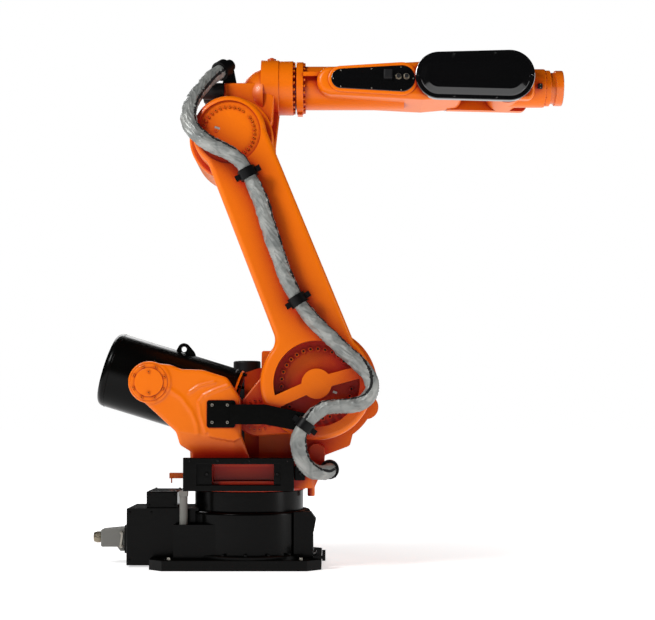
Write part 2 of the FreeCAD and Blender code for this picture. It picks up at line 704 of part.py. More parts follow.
def forearm_casting():
    x0 = elbow_seam + gear_ring_length + 15 + roll_flange_length
    end = wrist_x - forearm_end
    z = forearm_z
    pipe = drum("X", 0, z, tube_radius, x0, end - 260)
    nose = 62.0
    belly, crown = 80.0, 88.0
    nose_x = x0 + 122
    body = joined(
        drum("Y", nose_x, z + 3, nose, -forearm_half, forearm_half),
        plate_y([(nose_x, z + 3 - nose, 0), (end - 180, z - belly, 40), (end, z - belly + 16, 30),
                 (end, z + crown - 10, 30), (end - 180, z + crown, 40), (nose_x, z + 3 + nose, 0)],
                -forearm_half, forearm_half))
    body = rounded(body, 24, ("Y", -forearm_half), ("Y", forearm_half))
    arms = []
    for side in (-1, 1):
        inner, outer = side * fork_gap_half, side * forearm_half
        arm = plate_y([(end - 60, z - 72, 0), (wrist_x + fork_reach, z - 80, 30),
                       (wrist_x + fork_reach, z + 80, 60), (end - 60, z + 82, 0)],
                      min(inner, outer), max(inner, outer))
        arms.append(rounded(arm, 14, ("Y", outer)))
    rib = block(x0, nose_x, -tube_radius - 24, -tube_radius + 20, z + 28, z + 46)
    rim = link_y(cover_back, z + cover_rise, cover_left_radius - 7, cover_front, z + cover_rise,
                 cover_right_radius - 7, -forearm_half, -forearm_half + 30)
    whole = joined(pipe, body, *arms, rib, rim)
    return whole.cut(drum("Y", wrist_x, z, wrist_pin_radius + 1, -fork_gap_half, fork_gap_half))


def oval_cover():
    """Black belt cover on the near side of the wrist fork."""
    near = -forearm_half - cover_thick
    z = forearm_z + cover_rise
    shell = link_y(cover_back, z, cover_left_radius, cover_front, z, cover_right_radius,
                   near + 10, -forearm_half)
    shell = rounded(shell, 3, ("Y", near + 10.0))
    pad = link_y(cover_back, z, cover_left_radius - 22, cover_front, z, cover_right_radius - 22,
                 near, near + 10)
    pad = pad.makeChamfer(7, edges_at(pad, "Y", near))
    return joined(shell, pad)


def window_cover():
    """Black tapered plate over the service window."""
    near = -forearm_half - window_thick
    z = forearm_z + window_rise
    plate = link_y(window_front - window_length, z, window_left_radius, window_front, z,
                   window_right_radius, near, -forearm_half)
    return rounded(plate, 3, ("Y", near))


def service_ports():
    """Socket and two round couplings on the window plate."""
    near = -forearm_half - window_thick
    x = window_front
    z = forearm_z + window_rise
    socket = block(x - 78, x - 42, near - 14, near, z - 2, z + 38)
    socket = socket.cut(block(x - 73, x - 47, near - 14, near - 6, z + 3, z + 33))
    ports = [tube("Y", centre, z + 8, 13, 7, near - 12, near).fuse(drum("Y", centre, z + 8, 13, near - 3, near))
             for centre in (x - 14, x + 20)]
    return Part.makeCompound([socket] + [p.removeSplitter() for p in ports])


def far_cover():
    """Flat black cover on the far side of the fork."""
    far = forearm_half + 14
    plate = link_y(cover_back + 60, forearm_z, 66, wrist_x, forearm_z, 68, forearm_half, far)
    return rounded(plate, 4, ("Y", far))


def wrist_housing():
    z = forearm_z
    hub = drum("Y", wrist_x, z, wrist_radius, -fork_gap_half + swing_gap, fork_gap_half - swing_gap)
    faces = drum("Y", wrist_x, z, wrist_pin_radius, -fork_gap_half + seat_gap, fork_gap_half - seat_gap)
    barrel = drum("X", 0, z, wrist_radius, wrist_x, flange_x - flange_thick - 46)
    barrel = barrel.makeFillet(4, edges_at(barrel, "X", flange_x - flange_thick - 46))
    collar = drum("X", 0, z, wrist_radius - 6, flange_x - flange_thick - 46, flange_x - flange_thick - 22)
    collar = collar.makeFillet(2, edges_at(collar, "X", flange_x - flange_thick - 22))
    return joined(hub, faces, barrel, collar)


def tool_flange():
    z = forearm_z
    neck = drum("X", 0, z, wrist_radius - 16, flange_x - flange_thick - 22 + seat_gap, flange_x - flange_thick)
    disc = drum("X", 0, z, flange_radius, flange_x - flange_thick, flange_x)
    disc = rounded(disc, 2, ("X", flange_x), ("X", flange_x - flange_thick))
    whole = joined(neck, disc)
    hole = drum("X", flange_pcd / 2, z, flange_hole, flange_x - 20, flange_x)
    for cut in ring_of(hole, V(flange_x, 0, z), AXIS["X"], flange_count):
        whole = whole.cut(cut)
    return whole.cut(drum("X", 0, z, flange_spigot_radius, flange_x - flange_spigot_depth, flange_x))


# ---- hose and its clamps ----------------------------------------------------------------------
# Each stretch runs from one holder to the next; its points are chosen by hand along the real hose.
hose_outlet_point = (352, -262, 422)
bracket_point = (251, -398, 609)
arm_low_point = (222, -385, 1125)
arm_high_point = (14, -385, 1652)
elbow_point = (-106, -78, 2166)

hose_routes = {
    "hose_carousel": [hose_outlet_point, (352, -322, 422), (326, -358, 409), (278, -377, 418),
                      (238, -393, 462), (222, -398, 524), (227, -398, 577), bracket_point],
    "hose_shoulder_loop": [bracket_point, (281, -398, 649), (335, -399, 686), (405, -400, 686),
                           (480, -400, 692), (528, -400, 740), (524, -400, 806), (474, -396, 862),
                           (404, -393, 922), (338, -388, 988), (255, -385, 1070), arm_low_point],
    "hose_arm": [arm_low_point, (186, -385, 1185), (152, -383, 1272), (120, -384, 1372),
                 (88, -384, 1466), (59, -385, 1562), arm_high_point],
    "hose_elbow_loop": [arm_high_point, (-10, -385, 1700), (-64, -390, 1738), (-130, -394, 1764),
                        (-188, -388, 1800), (-230, -374, 1856), (-240, -352, 1916),
                        (-222, -296, 1982), (-194, -219, 2047), (-156, -151, 2114), elbow_point],
}
# Stretches that meet in a clamp share a straight line through it, which is the clamp's axis.


def route_direction(start, end):
    return (V(*end) - V(*start)).normalize()


def hose(name):
    """Round tube along a route of straight runs joined by tangent arcs."""
    points = [V(*p) for p in hose_routes[name]]
    edges, radii, last = [], [], points[0]
    for before, here, after in zip(points, points[1:], points[2:]):
        back, ahead = before - here, after - here
        turn = math.pi - back.getAngle(ahead)
        radius = 0.45 * min(back.Length, ahead.Length) / math.tan(turn / 2)
        inset = radius * math.tan(turn / 2)
        back.normalize()
        ahead.normalize()
        start, end = here + back * inset, here + ahead * inset
        middle = (back + ahead).normalize()
        bulge = here + middle * (radius / math.cos(turn / 2) - radius)
        edges += [Part.LineSegment(last, start).toShape(), Part.Arc(start, bulge, end).toShape()]
        radii.append(radius)
        last = end
    edges.append(Part.LineSegment(last, points[-1]).toShape())
    path = Part.Wire(edges)
    first = (points[1] - points[0]).normalize()
    section = Part.Wire(Part.makeCircle(hose_radius, points[0], first))
    solid = path.makePipeShell([section], True, False)
    expected = math.pi * hose_radius ** 2 * path.Length
    print(f"{name}: length {path.Length:.0f}, tightest {min(radii):.0f}, "
          f"volume ratio {solid.Volume / expected:.4f}, radii {[round(r) for r in radii]}")
    return solid


def clamp(point, direction, seat_y):
    """Split ring round the hose on a foot that stands on a face at seat_y."""
    centre = V(*point)
    bore_radius = hose_radius + seat_gap
    outer = bore_radius + clamp_thick
    start = centre - direction * (clamp_width / 2)
    ring = Part.makeCylinder(outer, clamp_width, start, direction)
    across = direction.cross(AXIS["Y"]).normalize()
    ears = Part.makeBox(2 * outer + 36, 22, clamp_width * 0.55)
    ears.translate(V(-outer - 18, -11, -clamp_width * 0.275))
    turn = FreeCAD.Matrix(across.x, AXIS["Y"].x, direction.x, centre.x,
                          across.y, AXIS["Y"].y, direction.y, centre.y,
                          across.z, AXIS["Y"].z, direction.z, centre.z, 0, 0, 0, 1)
    flat = V(direction.x, 0, direction.z).normalize()
    side = flat.cross(AXIS["Y"]).normalize()
    foot = Part.makeBox(46, abs(seat_y - centre.y), clamp_width * 0.8)
    foot.translate(V(-23, 0, -clamp_width * 0.4))
    stand = FreeCAD.Matrix(side.x, 0, flat.x, centre.x, side.y, 1, flat.y, centre.y,
                           side.z, 0, flat.z, centre.z, 0, 0, 0, 1)
    body = joined(ring, ears.transformGeometry(turn), foot.transformGeometry(stand))
    return body.cut(Part.makeCylinder(bore_radius, 8 * clamp_width, centre - direction * 4 * clamp_width,
                                      direction))


def clamp_axis(route, at_start=True):
    points = hose_routes[route]
    if at_start:
        return route_direction(points[0], points[1])
    return route_direction(points[-2], points[-1])


def hose_bracket():
    """Bent plate from the near ear out to the hose clamp."""
    outer = balancer_y - ear_outer
    x0 = near_ear_end - 142
    z0, z1 = bracket_low, bracket_high
    foot_x, foot_z = bracket_point[0] + 20, bracket_point[2]
    pad = plate_y([(x0, z0, 10), (x0 + 118, z0, 10), (x0 + 118, z1, 10), (x0, z1, 10)],
                  outer - bracket_thick, outer)
    neck = block(x0 + 100, x0 + 122, bracket_out - bracket_thick, outer, z0 + 14, z1 - 17)
    arm = plate_y([(x0 + 100, z0 + 14, 0), (x0 + 240, z0 + 14, 20), (foot_x, foot_z - 32, 6),
                   (foot_x + 22, foot_z + 41, 6), (x0 + 244, z1 - 17, 20), (x0 + 100, z1 - 17, 0)],
                  bracket_out - bracket_thick, bracket_out)
    return joined(pad, neck, arm)


def bracket_clamp():
    return clamp(bracket_point, clamp_axis("hose_shoulder_loop"),
                 bracket_out - bracket_thick)


def arm_clamp_low():
    return clamp(arm_low_point, clamp_axis("hose_arm"), arm_face)


def arm_clamp_high():
    return clamp(arm_high_point, clamp_axis("hose_elbow_loop"), arm_face)


def hose_outlet():
    """Socket on the turntable's front that the hose comes out of."""
    x, y, z = hose_outlet_point
    socket = drum("Y", x, z, hose_radius + 10, y - 22, y + 48)
    socket = socket.cut(drum("Y", x, z, hose_radius + seat_gap, y - 22, y))
    plate = block(deck_front - 30, x + 28, y + 48, y + 60, z - 36, z + 16)
    return joined(socket, plate).cut(carousel_turntable())


def hose_end_bracket():
    """Ring bracket on the elbow housing that holds the upper end of the hose."""
    direction = clamp_axis("hose_elbow_loop", at_start=False)
    centre = V(*elbow_point)
    top = forearm_z + tower_rise
    outer = hose_radius + seat_gap + clamp_thick + 3
    ring = Part.makeCylinder(outer, clamp_width, centre - direction * clamp_width, direction)
    foot = plate_y([(centre.x - 12, top, 0), (centre.x + 52, top, 0), (centre.x + 36, centre.z + 12, 8),
                    (centre.x + 4, centre.z + 20, 8)], centre.y + 8, centre.y + 30)
    ring_and_foot = joined(ring, foot)
    bore = Part.makeCylinder(hose_radius + seat_gap, 400, centre - direction * 400, direction)
    plug = Part.makeCylinder(hose_radius - 4, 44, centre, direction)
    whole = joined(ring_and_foot.cut(bore), plug).cut(elbow_housing())
    back = elbow_seam - tower_back
    for place in (-1, 0):
        room = drum("X", place * wrist_motor_spacing, forearm_z - 30, wrist_motor_radius + 3,
                    back - wrist_motor_length - 3, back)
        whole = whole.cut(room)
    return whole


# ---- nodes ------------------------------------------------------------------------------------
pieces = {
    "base_plate": base_plate,
    "base_column": base_column,
    "base_ring": base_ring,
    "rear_box": rear_box,
    "rear_upper_box": rear_upper_box,
    "connector_base": connector_base,
    "connector_hood": connector_hood,
    "cable_gland": cable_gland,
    "stop_post": stop_post,
    "front_stop_block": front_stop_block,
    "front_foot_bracket": front_foot_bracket,
    "carousel_turntable": carousel_turntable,
    "stop_pin": stop_pin,
    "shoulder_casting": shoulder_casting,
    "shoulder_gearbox": shoulder_gearbox,
    "shoulder_motor": shoulder_motor,
    "turntable_motor": turntable_motor,
    "balancer_ear_right": lambda: balancer_ear(-1, near_ear_end),
    "balancer_ear_left": lambda: balancer_ear(1, far_ear_end),
    "trunnion_cap_right": lambda: trunnion_cap(-1),
    "trunnion_cap_left": lambda: trunnion_cap(1),
    "side_frame_right": lambda: side_frame(-1),
    "side_frame_left": lambda: side_frame(1),
    "rear_tab": rear_tab,
    "hose_bracket": hose_bracket,
    "bracket_clamp": bracket_clamp,
    "hose_outlet": hose_outlet,
    "balancer_shell": balancer_shell,
    "balancer_front_ring": balancer_front_ring,
    "lifting_eye": lifting_eye,
    "balancer_rod": balancer_rod,
    "lower_arm": lower_arm,
    "rod_pin": rod_pin,
    "rod_pin_cover": rod_pin_cover,
    "arm_clamp_low": arm_clamp_low,
    "arm_clamp_high": arm_clamp_high,
    "elbow_housing": elbow_housing,
    "elbow_gear_ring": elbow_gear_ring,
    "elbow_motor": elbow_motor,
    "wrist_motors": wrist_motors,
    "hose_end_bracket": hose_end_bracket,
    "forearm_flange": forearm_flange,
    "forearm_casting": forearm_casting,
    "oval_cover": oval_cover,
    "window_cover": window_cover,
    "service_ports": service_ports,
    "far_cover": far_cover,
    "wrist_housing": wrist_housing,
    "tool_flange": tool_flange,
}
for hose_name in hose_routes:
    pieces[hose_name] = lambda name=hose_name: hose(name)

os.makedirs("parts", exist_ok=True)
for node, make in pieces.items():
    solid = make()
    box = solid.BoundBox
    print(f"{node:22s} solids {len(solid.Solids)} valid {solid.isValid()} "
          f"X {box.XMin:.0f}..{box.XMax:.0f} Y {box.YMin:.0f}..{box.YMax:.0f} Z {box.ZMin:.0f}..{box.ZMax:.0f}")
    solid.exportStep(f"parts/{node}.step")
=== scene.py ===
import bmesh
import bpy
import json
import math
import numpy as np
from mathutils import Matrix, Vector, noise


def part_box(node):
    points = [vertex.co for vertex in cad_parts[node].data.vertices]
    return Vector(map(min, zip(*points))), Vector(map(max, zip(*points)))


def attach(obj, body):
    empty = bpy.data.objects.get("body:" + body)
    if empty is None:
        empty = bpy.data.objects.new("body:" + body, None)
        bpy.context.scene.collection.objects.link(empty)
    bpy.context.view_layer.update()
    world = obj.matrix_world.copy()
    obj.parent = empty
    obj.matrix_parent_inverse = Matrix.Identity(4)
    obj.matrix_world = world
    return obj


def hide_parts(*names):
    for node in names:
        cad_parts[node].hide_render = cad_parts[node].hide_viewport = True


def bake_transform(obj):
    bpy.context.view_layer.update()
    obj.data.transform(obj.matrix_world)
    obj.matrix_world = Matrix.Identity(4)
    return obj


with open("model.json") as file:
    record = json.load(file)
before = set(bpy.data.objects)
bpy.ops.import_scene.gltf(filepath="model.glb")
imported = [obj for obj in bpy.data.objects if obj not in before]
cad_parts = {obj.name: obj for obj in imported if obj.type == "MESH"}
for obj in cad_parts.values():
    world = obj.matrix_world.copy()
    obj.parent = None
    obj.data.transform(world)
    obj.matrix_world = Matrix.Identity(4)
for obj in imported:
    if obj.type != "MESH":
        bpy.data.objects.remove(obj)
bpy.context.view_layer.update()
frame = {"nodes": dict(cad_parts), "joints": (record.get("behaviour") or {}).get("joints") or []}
nodes = frame["nodes"]
pivot = {joint["name"]: Vector(joint["pos_m"]) for joint in frame["joints"]}
scene = bpy.context.scene


# ---- Camera, paper floor and studio lights -----------------------------------------------------
# A white studio sweep. The key box stands high on the left, a wide dim box on the right draws the
# long soft reflections on the black drum, and the camera looks square at the hose side.
camera = bpy.data.objects.new("camera", bpy.data.cameras.new("camera"))
scene.collection.objects.link(camera)
camera_tilt = math.radians(2.0)
focal_length = 76.2
camera.location = (0.354, -6.1, 0.6715)
camera.rotation_euler = (math.radians(90) + camera_tilt, 0, 0)
camera.data.sensor_width = 36
camera.data.lens = focal_length
camera.data.shift_x = -0.0038
camera.data.shift_y = 0.1527 - math.tan(camera_tilt) * focal_length / 36
camera.data.clip_end = 100
scene.camera = camera
scene.view_settings.view_transform = "Standard"


def linear(colour):
    """Linear colour from an sRGB hex value such as 'E47A11'."""
    parts = [int(colour[i:i + 2], 16) / 255 for i in (0, 2, 4)]
    return (*(c / 12.92 if c <= 0.04045 else ((c + 0.055) / 1.055) ** 2.4 for c in parts), 1)


def add(tree, kind, inputs=None, **settings):
    """Adds one node, with values or links for its inputs."""
    node = tree.nodes.new(kind)
    for name, value in settings.items():
        setattr(node, name, value)
    for name, value in (inputs or {}).items():
        if isinstance(value, bpy.types.NodeSocket):
            tree.links.new(value, node.inputs[name])
        else:
            node.inputs[name].default_value = value
    return node


def new_material(name, colour, roughness, metallic=0.0, coat=0.0):
    """Material with a Principled shader; returns it, its tree and the shader."""
    material = bpy.data.materials.new(name)
    material.use_nodes = True
    shader = material.node_tree.nodes["Principled BSDF"]
    shader.inputs["Base Color"].default_value = linear(colour)
    shader.inputs["Roughness"].default_value = roughness
    shader.inputs["Metallic"].default_value = metallic
    shader.inputs["Coat Weight"].default_value = coat
    shader.inputs["Coat Roughness"].default_value = 0.06
    return material, material.node_tree, shader


paper, tree, shader = new_material("white_studio_paper", "E8E8E8", 0.9)
shader.inputs["Emission Color"].default_value = linear("FFFFFF")
place = add(tree, "ShaderNodeTexCoord").outputs["Object"]
away = add(tree, "ShaderNodeVectorMath", {0: place}, operation="LENGTH")
glow = add(tree, "ShaderNodeMapRange", {"Value": away.outputs["Value"], "From Min": 0.6, "From Max": 2.6,
           "To Min": 0.62, "To Max": 1.0})
tree.links.new(glow.outputs[0], shader.inputs["Emission Strength"])
paper_mesh = bpy.data.meshes.new("studio_floor")
paper_mesh.from_pydata([(-30, -20, 0), (30, -20, 0), (30, 40, 0), (-30, 40, 0)], [], [(0, 1, 2, 3)])
paper_mesh.materials.append(paper)
floor = bpy.data.objects.new("studio_floor", paper_mesh)
scene.collection.objects.link(floor)

world = bpy.data.worlds.new("studio")
scene.world = world
world.use_nodes = True
surround = world.node_tree.nodes["Background"]
surround.inputs["Strength"].default_value = 0.34
seen = add(world.node_tree, "ShaderNodeBackground", {"Color": (1, 1, 1, 1), "Strength": 1.0})
path = add(world.node_tree, "ShaderNodeLightPath")
mix = add(world.node_tree, "ShaderNodeMixShader", {0: path.outputs["Is Camera Ray"],
          1: surround.outputs[0], 2: seen.outputs[0]})
world.node_tree.links.new(mix.outputs[0], world.node_tree.nodes["World Output"].inputs["Surface"])


def soft_box(name, spot, aim, size, power):
    light = bpy.data.lights.new(name, "AREA")
    light.shape = "RECTANGLE"
    light.size, light.size_y = size
    light.energy = power
    lamp = bpy.data.objects.new(name, light)
    lamp.location = spot
    lamp.rotation_euler = (Vector(aim) - Vector(spot)).to_track_quat("-Z", "Y").to_euler()
    scene.collection.objects.link(lamp)


soft_box("key_box", (-3.0, -3.4, 4.4), (0.2, 0, 1.1), (1.2, 1.8), 235)
soft_box("right_box", (4.6, -1.6, 1.6), (0.2, 0, 0.9), (1.2, 3.2), 60)
soft_box("rear_box_light", (-1.5, 4.0, 3.6), (0.2, 0, 1.2), (3.0, 2.0), 90)


# ---- Base: plate, column, ring and cable box ---------------------------------------------------
# Fabricated steel plate and box on a grey-iron column, filled, primed and sprayed with black gloss
# machine enamel. It reads near black, with long soft reflections and a faint orange peel.
def enamel(name, colour, drift_colour, roughness, coat, grain_mm=3.0, peel_mm=0.05, painted_shade_colour=None, shine=0.5):
    """Sprayed enamel: slow colour drift and orange peel, and, when a painted shade colour is given, painted
    shade: the base colour turns to it where ambient occlusion is high, in recesses and between parts.
    """
    material, tree, shader = new_material(name, colour, roughness, coat=coat)
    shader.inputs["Specular IOR Level"].default_value = shine
    place = add(tree, "ShaderNodeTexCoord").outputs["Object"]
    drift = add(tree, "ShaderNodeTexNoise", {"Vector": place, "Scale": 4.0, "Detail": 4.0})
    last = add(tree, "ShaderNodeMix", {0: drift.outputs["Fac"], 6: linear(colour), 7: linear(drift_colour)},
               data_type="RGBA").outputs[2]
    # Painted shade: the base colour darkens towards the given deep colour where ambient occlusion finds
    # nearby surfaces.
    if painted_shade_colour:
        shut = add(tree, "ShaderNodeAmbientOcclusion", {"Distance": 0.14}, samples=8)
        open_sky = add(tree, "ShaderNodeMapRange", {"Value": shut.outputs["AO"], "From Min": 0.5,
                       "From Max": 0.95})
        last = add(tree, "ShaderNodeMix", {0: open_sky.outputs[0], 6: linear(painted_shade_colour), 7: last},
                   data_type="RGBA").outputs[2]
    tree.links.new(last, shader.inputs["Base Color"])
    peel = add(tree, "ShaderNodeTexNoise", {"Vector": place, "Scale": 1000 / grain_mm, "Detail": 1.0})
    swell = add(tree, "ShaderNodeTexNoise", {"Vector": place, "Scale": 22.0, "Detail": 2.0})
    broad = add(tree, "ShaderNodeBump", {"Height": swell.outputs["Fac"], "Distance": 0.0012,
                "Strength": 0.35})
    fine = add(tree, "ShaderNodeBump", {"Height": peel.outputs["Fac"], "Distance": peel_mm / 1000,
               "Strength": 0.5, "Normal": broad.outputs["Normal"]})
    tree.links.new(fine.outputs["Normal"], shader.inputs["Normal"])
    return material


def finish_nodes(material, *names):
    """Puts a material on CAD nodes."""
    for name in names:
        mesh = nodes[name].data
        mesh.materials.clear()
        mesh.materials.append(material)


black_enamel = enamel("black_machine_enamel", "030302", "050505", 0.25, 0.02, shine=0.09)
finish_nodes(black_enamel, "base_plate", "base_column", "base_ring", "rear_box", "rear_upper_box",
             "front_stop_block", "front_foot_bracket", "connector_base")


def lathe_head(name, rings, corners=12):
    """Screw head of unit radius and height turned from (radius, height, six-sided) rings."""
    mesh = bmesh.new()
    loops = []
    for radius, height, six_sided in rings:
        loop = []
        for k in range(corners):
            angle = 2 * math.pi * k / corners
            reach = radius * (math.cos(math.pi / 6) if six_sided and k % 2 else 1)
            loop.append(mesh.verts.new((reach * math.cos(angle), reach * math.sin(angle), height)))
        loops.append(loop)
    for low, high in zip(loops, loops[1:]):
        for k in range(corners):
            mesh.faces.new((low[k], low[(k + 1) % corners], high[(k + 1) % corners], high[k]))
    mesh.faces.new(loops[-1])
    mesh.faces.new(loops[0][::-1])
    bmesh.ops.recalc_face_normals(mesh, faces=mesh.faces)
    data = bpy.data.meshes.new(name)
    mesh.to_mesh(data)
    mesh.free()
    return bpy.data.objects.new(name, data)


cap_head = lathe_head("cap_head", [(1, 0, False), (1, 0.88, False), (0.9, 1, False), (0.56, 1, True),
                                   (0.52, 0.42, True)])
button_head = lathe_head("button_head", [(1, 0, False), (0.97, 0.45, False), (0.75, 0.9, False),
                                         (0.45, 1, True), (0.42, 0.45, True)])
hex_head = lathe_head("hex_head", [(1.18, 0, False), (1.18, 0.16, False), (0.98, 0.18, True),
                                   (0.98, 0.92, True), (0.8, 1, False)])
# A thin disc on the floor of the key hole, coloured near black later as painted shadow.
hex_key = lathe_head("hex_key", [(0.515, 0.40, True), (0.515, 0.44, True)])


def build_screw_tree():
    """Sets a head, and a near-black disc of painted shadow on the floor of its key hole, on every point of
    a mesh.
    """
    tree = bpy.data.node_groups.new("set_screws", "GeometryNodeTree")
    for name, kind in (("Points", "Geometry"), ("Head", "Object"), ("Key Hole", "Object"),
                       ("Size", "Vector"), ("Paint", "Material"), ("Shadow", "Material"), ("Seed", "Int")):
        tree.interface.new_socket(name, in_out="INPUT", socket_type="NodeSocket" + kind)
    tree.interface.new_socket("Screws", in_out="OUTPUT", socket_type="NodeSocketGeometry")
    given = add(tree, "NodeGroupInput").outputs
    facing = add(tree, "GeometryNodeInputNamedAttribute", {"Name": "facing"}, data_type="FLOAT_VECTOR")
    stand = add(tree, "FunctionNodeAlignRotationToVector", {"Vector": facing.outputs[0]}, axis="Z")
    spin = add(tree, "FunctionNodeRandomValue", {2: 0.0, 3: 1.05, 8: given["Seed"]}, data_type="FLOAT")
    turn = add(tree, "FunctionNodeAxisAngleToRotation", {"Axis": (0, 0, 1), "Angle": spin.outputs[1]})
    pose = add(tree, "FunctionNodeRotateRotation", {0: stand.outputs[0], 1: turn.outputs[0]},
               rotation_space="LOCAL")
    parts = []
    for part, paint in (("Head", "Paint"), ("Key Hole", "Shadow")):
        shape = add(tree, "GeometryNodeObjectInfo", {"Object": given[part]})
        copies = add(tree, "GeometryNodeInstanceOnPoints", {"Points": given["Points"],
                     "Instance": shape.outputs["Geometry"], "Rotation": pose.outputs[0],
                     "Scale": given["Size"]})
        real = add(tree, "GeometryNodeRealizeInstances", {0: copies.outputs[0]})
        parts.append(add(tree, "GeometryNodeSetMaterial", {0: real.outputs[0], "Material": given[paint]}))
    whole = add(tree, "GeometryNodeJoinGeometry")
    for part in parts:
        tree.links.new(part.outputs[0], whole.inputs[0])
    tree.links.new(whole.outputs[0], add(tree, "NodeGroupOutput").inputs[0])
    return tree


screw_tree = build_screw_tree()
# Near-black colour for the key-hole discs: painted shadow in the socket recess.
key_shadow, tree, shader = new_material("painted_shadow_key_hole", "0A0504", 0.6)


def screws(name, head, spots, facing, size_mm, paint, body):
    """Screw heads on spots in mm; facing is one direction, or one for each spot."""
    data = bpy.data.meshes.new(name)
    data.from_pydata([Vector(s) / 1000 for s in spots], [], [])
    ways = facing if isinstance(facing, list) else [facing] * len(spots)
    data.attributes.new("facing", "FLOAT_VECTOR", "POINT").data.foreach_set(
        "vector", [v for way in ways for v in way])
    holder = bpy.data.objects.new(name, data)
    scene.collection.objects.link(holder)
    modifier = holder.modifiers.new("screws", "NODES")
    modifier.node_group = screw_tree
    radius, height = size_mm
    given = {"Head": head, "Key Hole": hex_key, "Size": (radius / 1000, radius / 1000, height / 1000),
             "Paint": paint, "Shadow": key_shadow, "Seed": len(name)}
    for item in screw_tree.interface.items_tree:
        if item.in_out == "INPUT" and item.name in given:
            modifier[item.identifier] = given[item.name]
    bpy.context.view_layer.update()
    ready = holder.evaluated_get(bpy.context.evaluated_depsgraph_get())
    holder.data = bpy.data.meshes.new_from_object(ready)
    holder.modifiers.clear()
    holder.data.name = name
    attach(holder, body)
    return holder


def on_circle(centre, radius, angles, axis):
    """Spots in mm round a centre, in the plane across an axis; angles in degrees from +X or +Y."""
    found = []
    for angle in angles:
        u, w = radius * math.cos(math.radians(angle)), radius * math.sin(math.radians(angle))
        step = {"X": (0, u, w), "Y": (u, 0, w), "Z": (u, w, 0)}[axis]
        found.append(tuple(c + s for c, s in zip(centre, step)))
    return found


def mm_box(name):
    low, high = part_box(name)
    return Vector(low) * 1000, Vector(high) * 1000


zinc, tree, shader = new_material("zinc_plated_steel", "A9A59B", 0.35, metallic=1.0)
plate_high = mm_box("base_plate")[1]
foot_ring_thick = 14
foot_screw_circle = 282
screws("column_foot_screws", cap_head,
       on_circle((0, 0, plate_high.z + foot_ring_thick), foot_screw_circle, range(-150, 151, 20), "Z"),
       (0, 0, 1), (8, 8), black_enamel, "base")
box_low, box_high = mm_box("rear_box")
box_corners = [(x, z) for x in (box_low.x + 14, -410) for z in (box_low.z + 24, box_high.z - 16)]
screws("rear_box_screws_right", button_head, [(x, box_low.y, z) for x, z in box_corners], (0, -1, 0),
       (5, 4), black_enamel, "base")
screws("rear_box_screws_left", button_head, [(x, box_high.y, z) for x, z in box_corners], (0, 1, 0),
       (5, 4), black_enamel, "base")
lid_low, lid_high = mm_box("rear_upper_box")
screws("lid_screws", button_head, [(x, y, lid_high.z) for x in (lid_low.x + 14, lid_high.x - 14)
       for y in (lid_low.y + 14, 0, lid_high.y - 14)], (0, 0, 1), (5, 4), black_enamel, "base")
screws("lid_side_screws", button_head, [(x, lid_low.y, z) for x in (lid_low.x + 12, lid_high.x - 12)
       for z in (lid_low.z + 14, lid_high.z - 14)], (0, -1, 0), (4, 3), black_enamel, "base")
screws("plate_studs", hex_head, [(x, y, plate_high.z) for x in (-322, 232) for y in (-272, 272)], (0, 0, 1),
       (8, 9), zinc, "base")


def rounded_box(name, low, high, radius, paint, body, turn=None, segments=3):
    """Box in mm with rounded edges; turn is degrees about Y through its centre."""
    mesh = bmesh.new()
    bmesh.ops.create_cube(mesh, size=1)
    low, high = Vector(low) / 1000, Vector(high) / 1000
    span = high - low
    bmesh.ops.scale(mesh, vec=span, verts=mesh.verts)
    bmesh.ops.bevel(mesh, geom=list(mesh.edges), offset=radius / 1000, segments=segments, profile=0.5,
                    affect="EDGES")
    if turn:
        bmesh.ops.rotate(mesh, verts=mesh.verts, matrix=Matrix.Rotation(math.radians(turn), 3, "Y"))
    bmesh.ops.translate(mesh, verts=mesh.verts, vec=(low + high) / 2)
    return place_mesh(name, mesh, paint, body)


def place_mesh(name, mesh, paint, body, smooth=False):
    for face in mesh.faces:
        face.smooth = smooth
    data = bpy.data.meshes.new(name)
    mesh.to_mesh(data)
    mesh.free()
    data.materials.append(paint)
    piece = bpy.data.objects.new(name, data)
    scene.collection.objects.link(piece)
    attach(piece, body)
    return piece


# ---- Cable connector and mechanical stop --------------------------------------------------------
# A die-cast aluminium plug hood with a grey powder coat, held by two sprung steel levers, and the
# grey stop post in front of the cable box. The gland is nickel-plated brass.
grey_coat = enamel("grey_powder_coat", "76746F", "686863", 0.55, 0.0, grain_mm=1.5, peel_mm=0.12)
finish_nodes(grey_coat, "connector_hood", "stop_post")
nickel, tree, shader = new_material("nickel_plated_brass", "A69B88", 0.28, metallic=1.0)
place = add(tree, "ShaderNodeTexCoord").outputs["Object"]
turned = add(tree, "ShaderNodeTexWave", {"Vector": place, "Scale": 160.0}, bands_direction="X")
ridge = add(tree, "ShaderNodeBump", {"Height": turned.outputs["Fac"], "Distance": 0.0008})
tree.links.new(ridge.outputs["Normal"], shader.inputs["Normal"])
finish_nodes(nickel, "cable_gland")
hood_low, hood_high = mm_box("connector_hood")
for side, y in (("right", hood_low.y - 3), ("left", hood_high.y + 3)):
    for end, z in (("low", hood_low.z + 22), ("high", hood_high.z - 22)):
        screws(f"lever_pin_{side}_{end}", button_head, [(hood_high.x - 14, y * 0.98, z)],
               (0, -1 if y < 0 else 1, 0), (9, 7), zinc, "base")
    rounded_box(f"lever_{side}", (hood_high.x - 19, min(y, y * 1.1), hood_low.z + 20),
                (hood_high.x - 9, max(y, y * 1.1), hood_high.z - 20), 1.6, zinc, "base",
                turn=8)
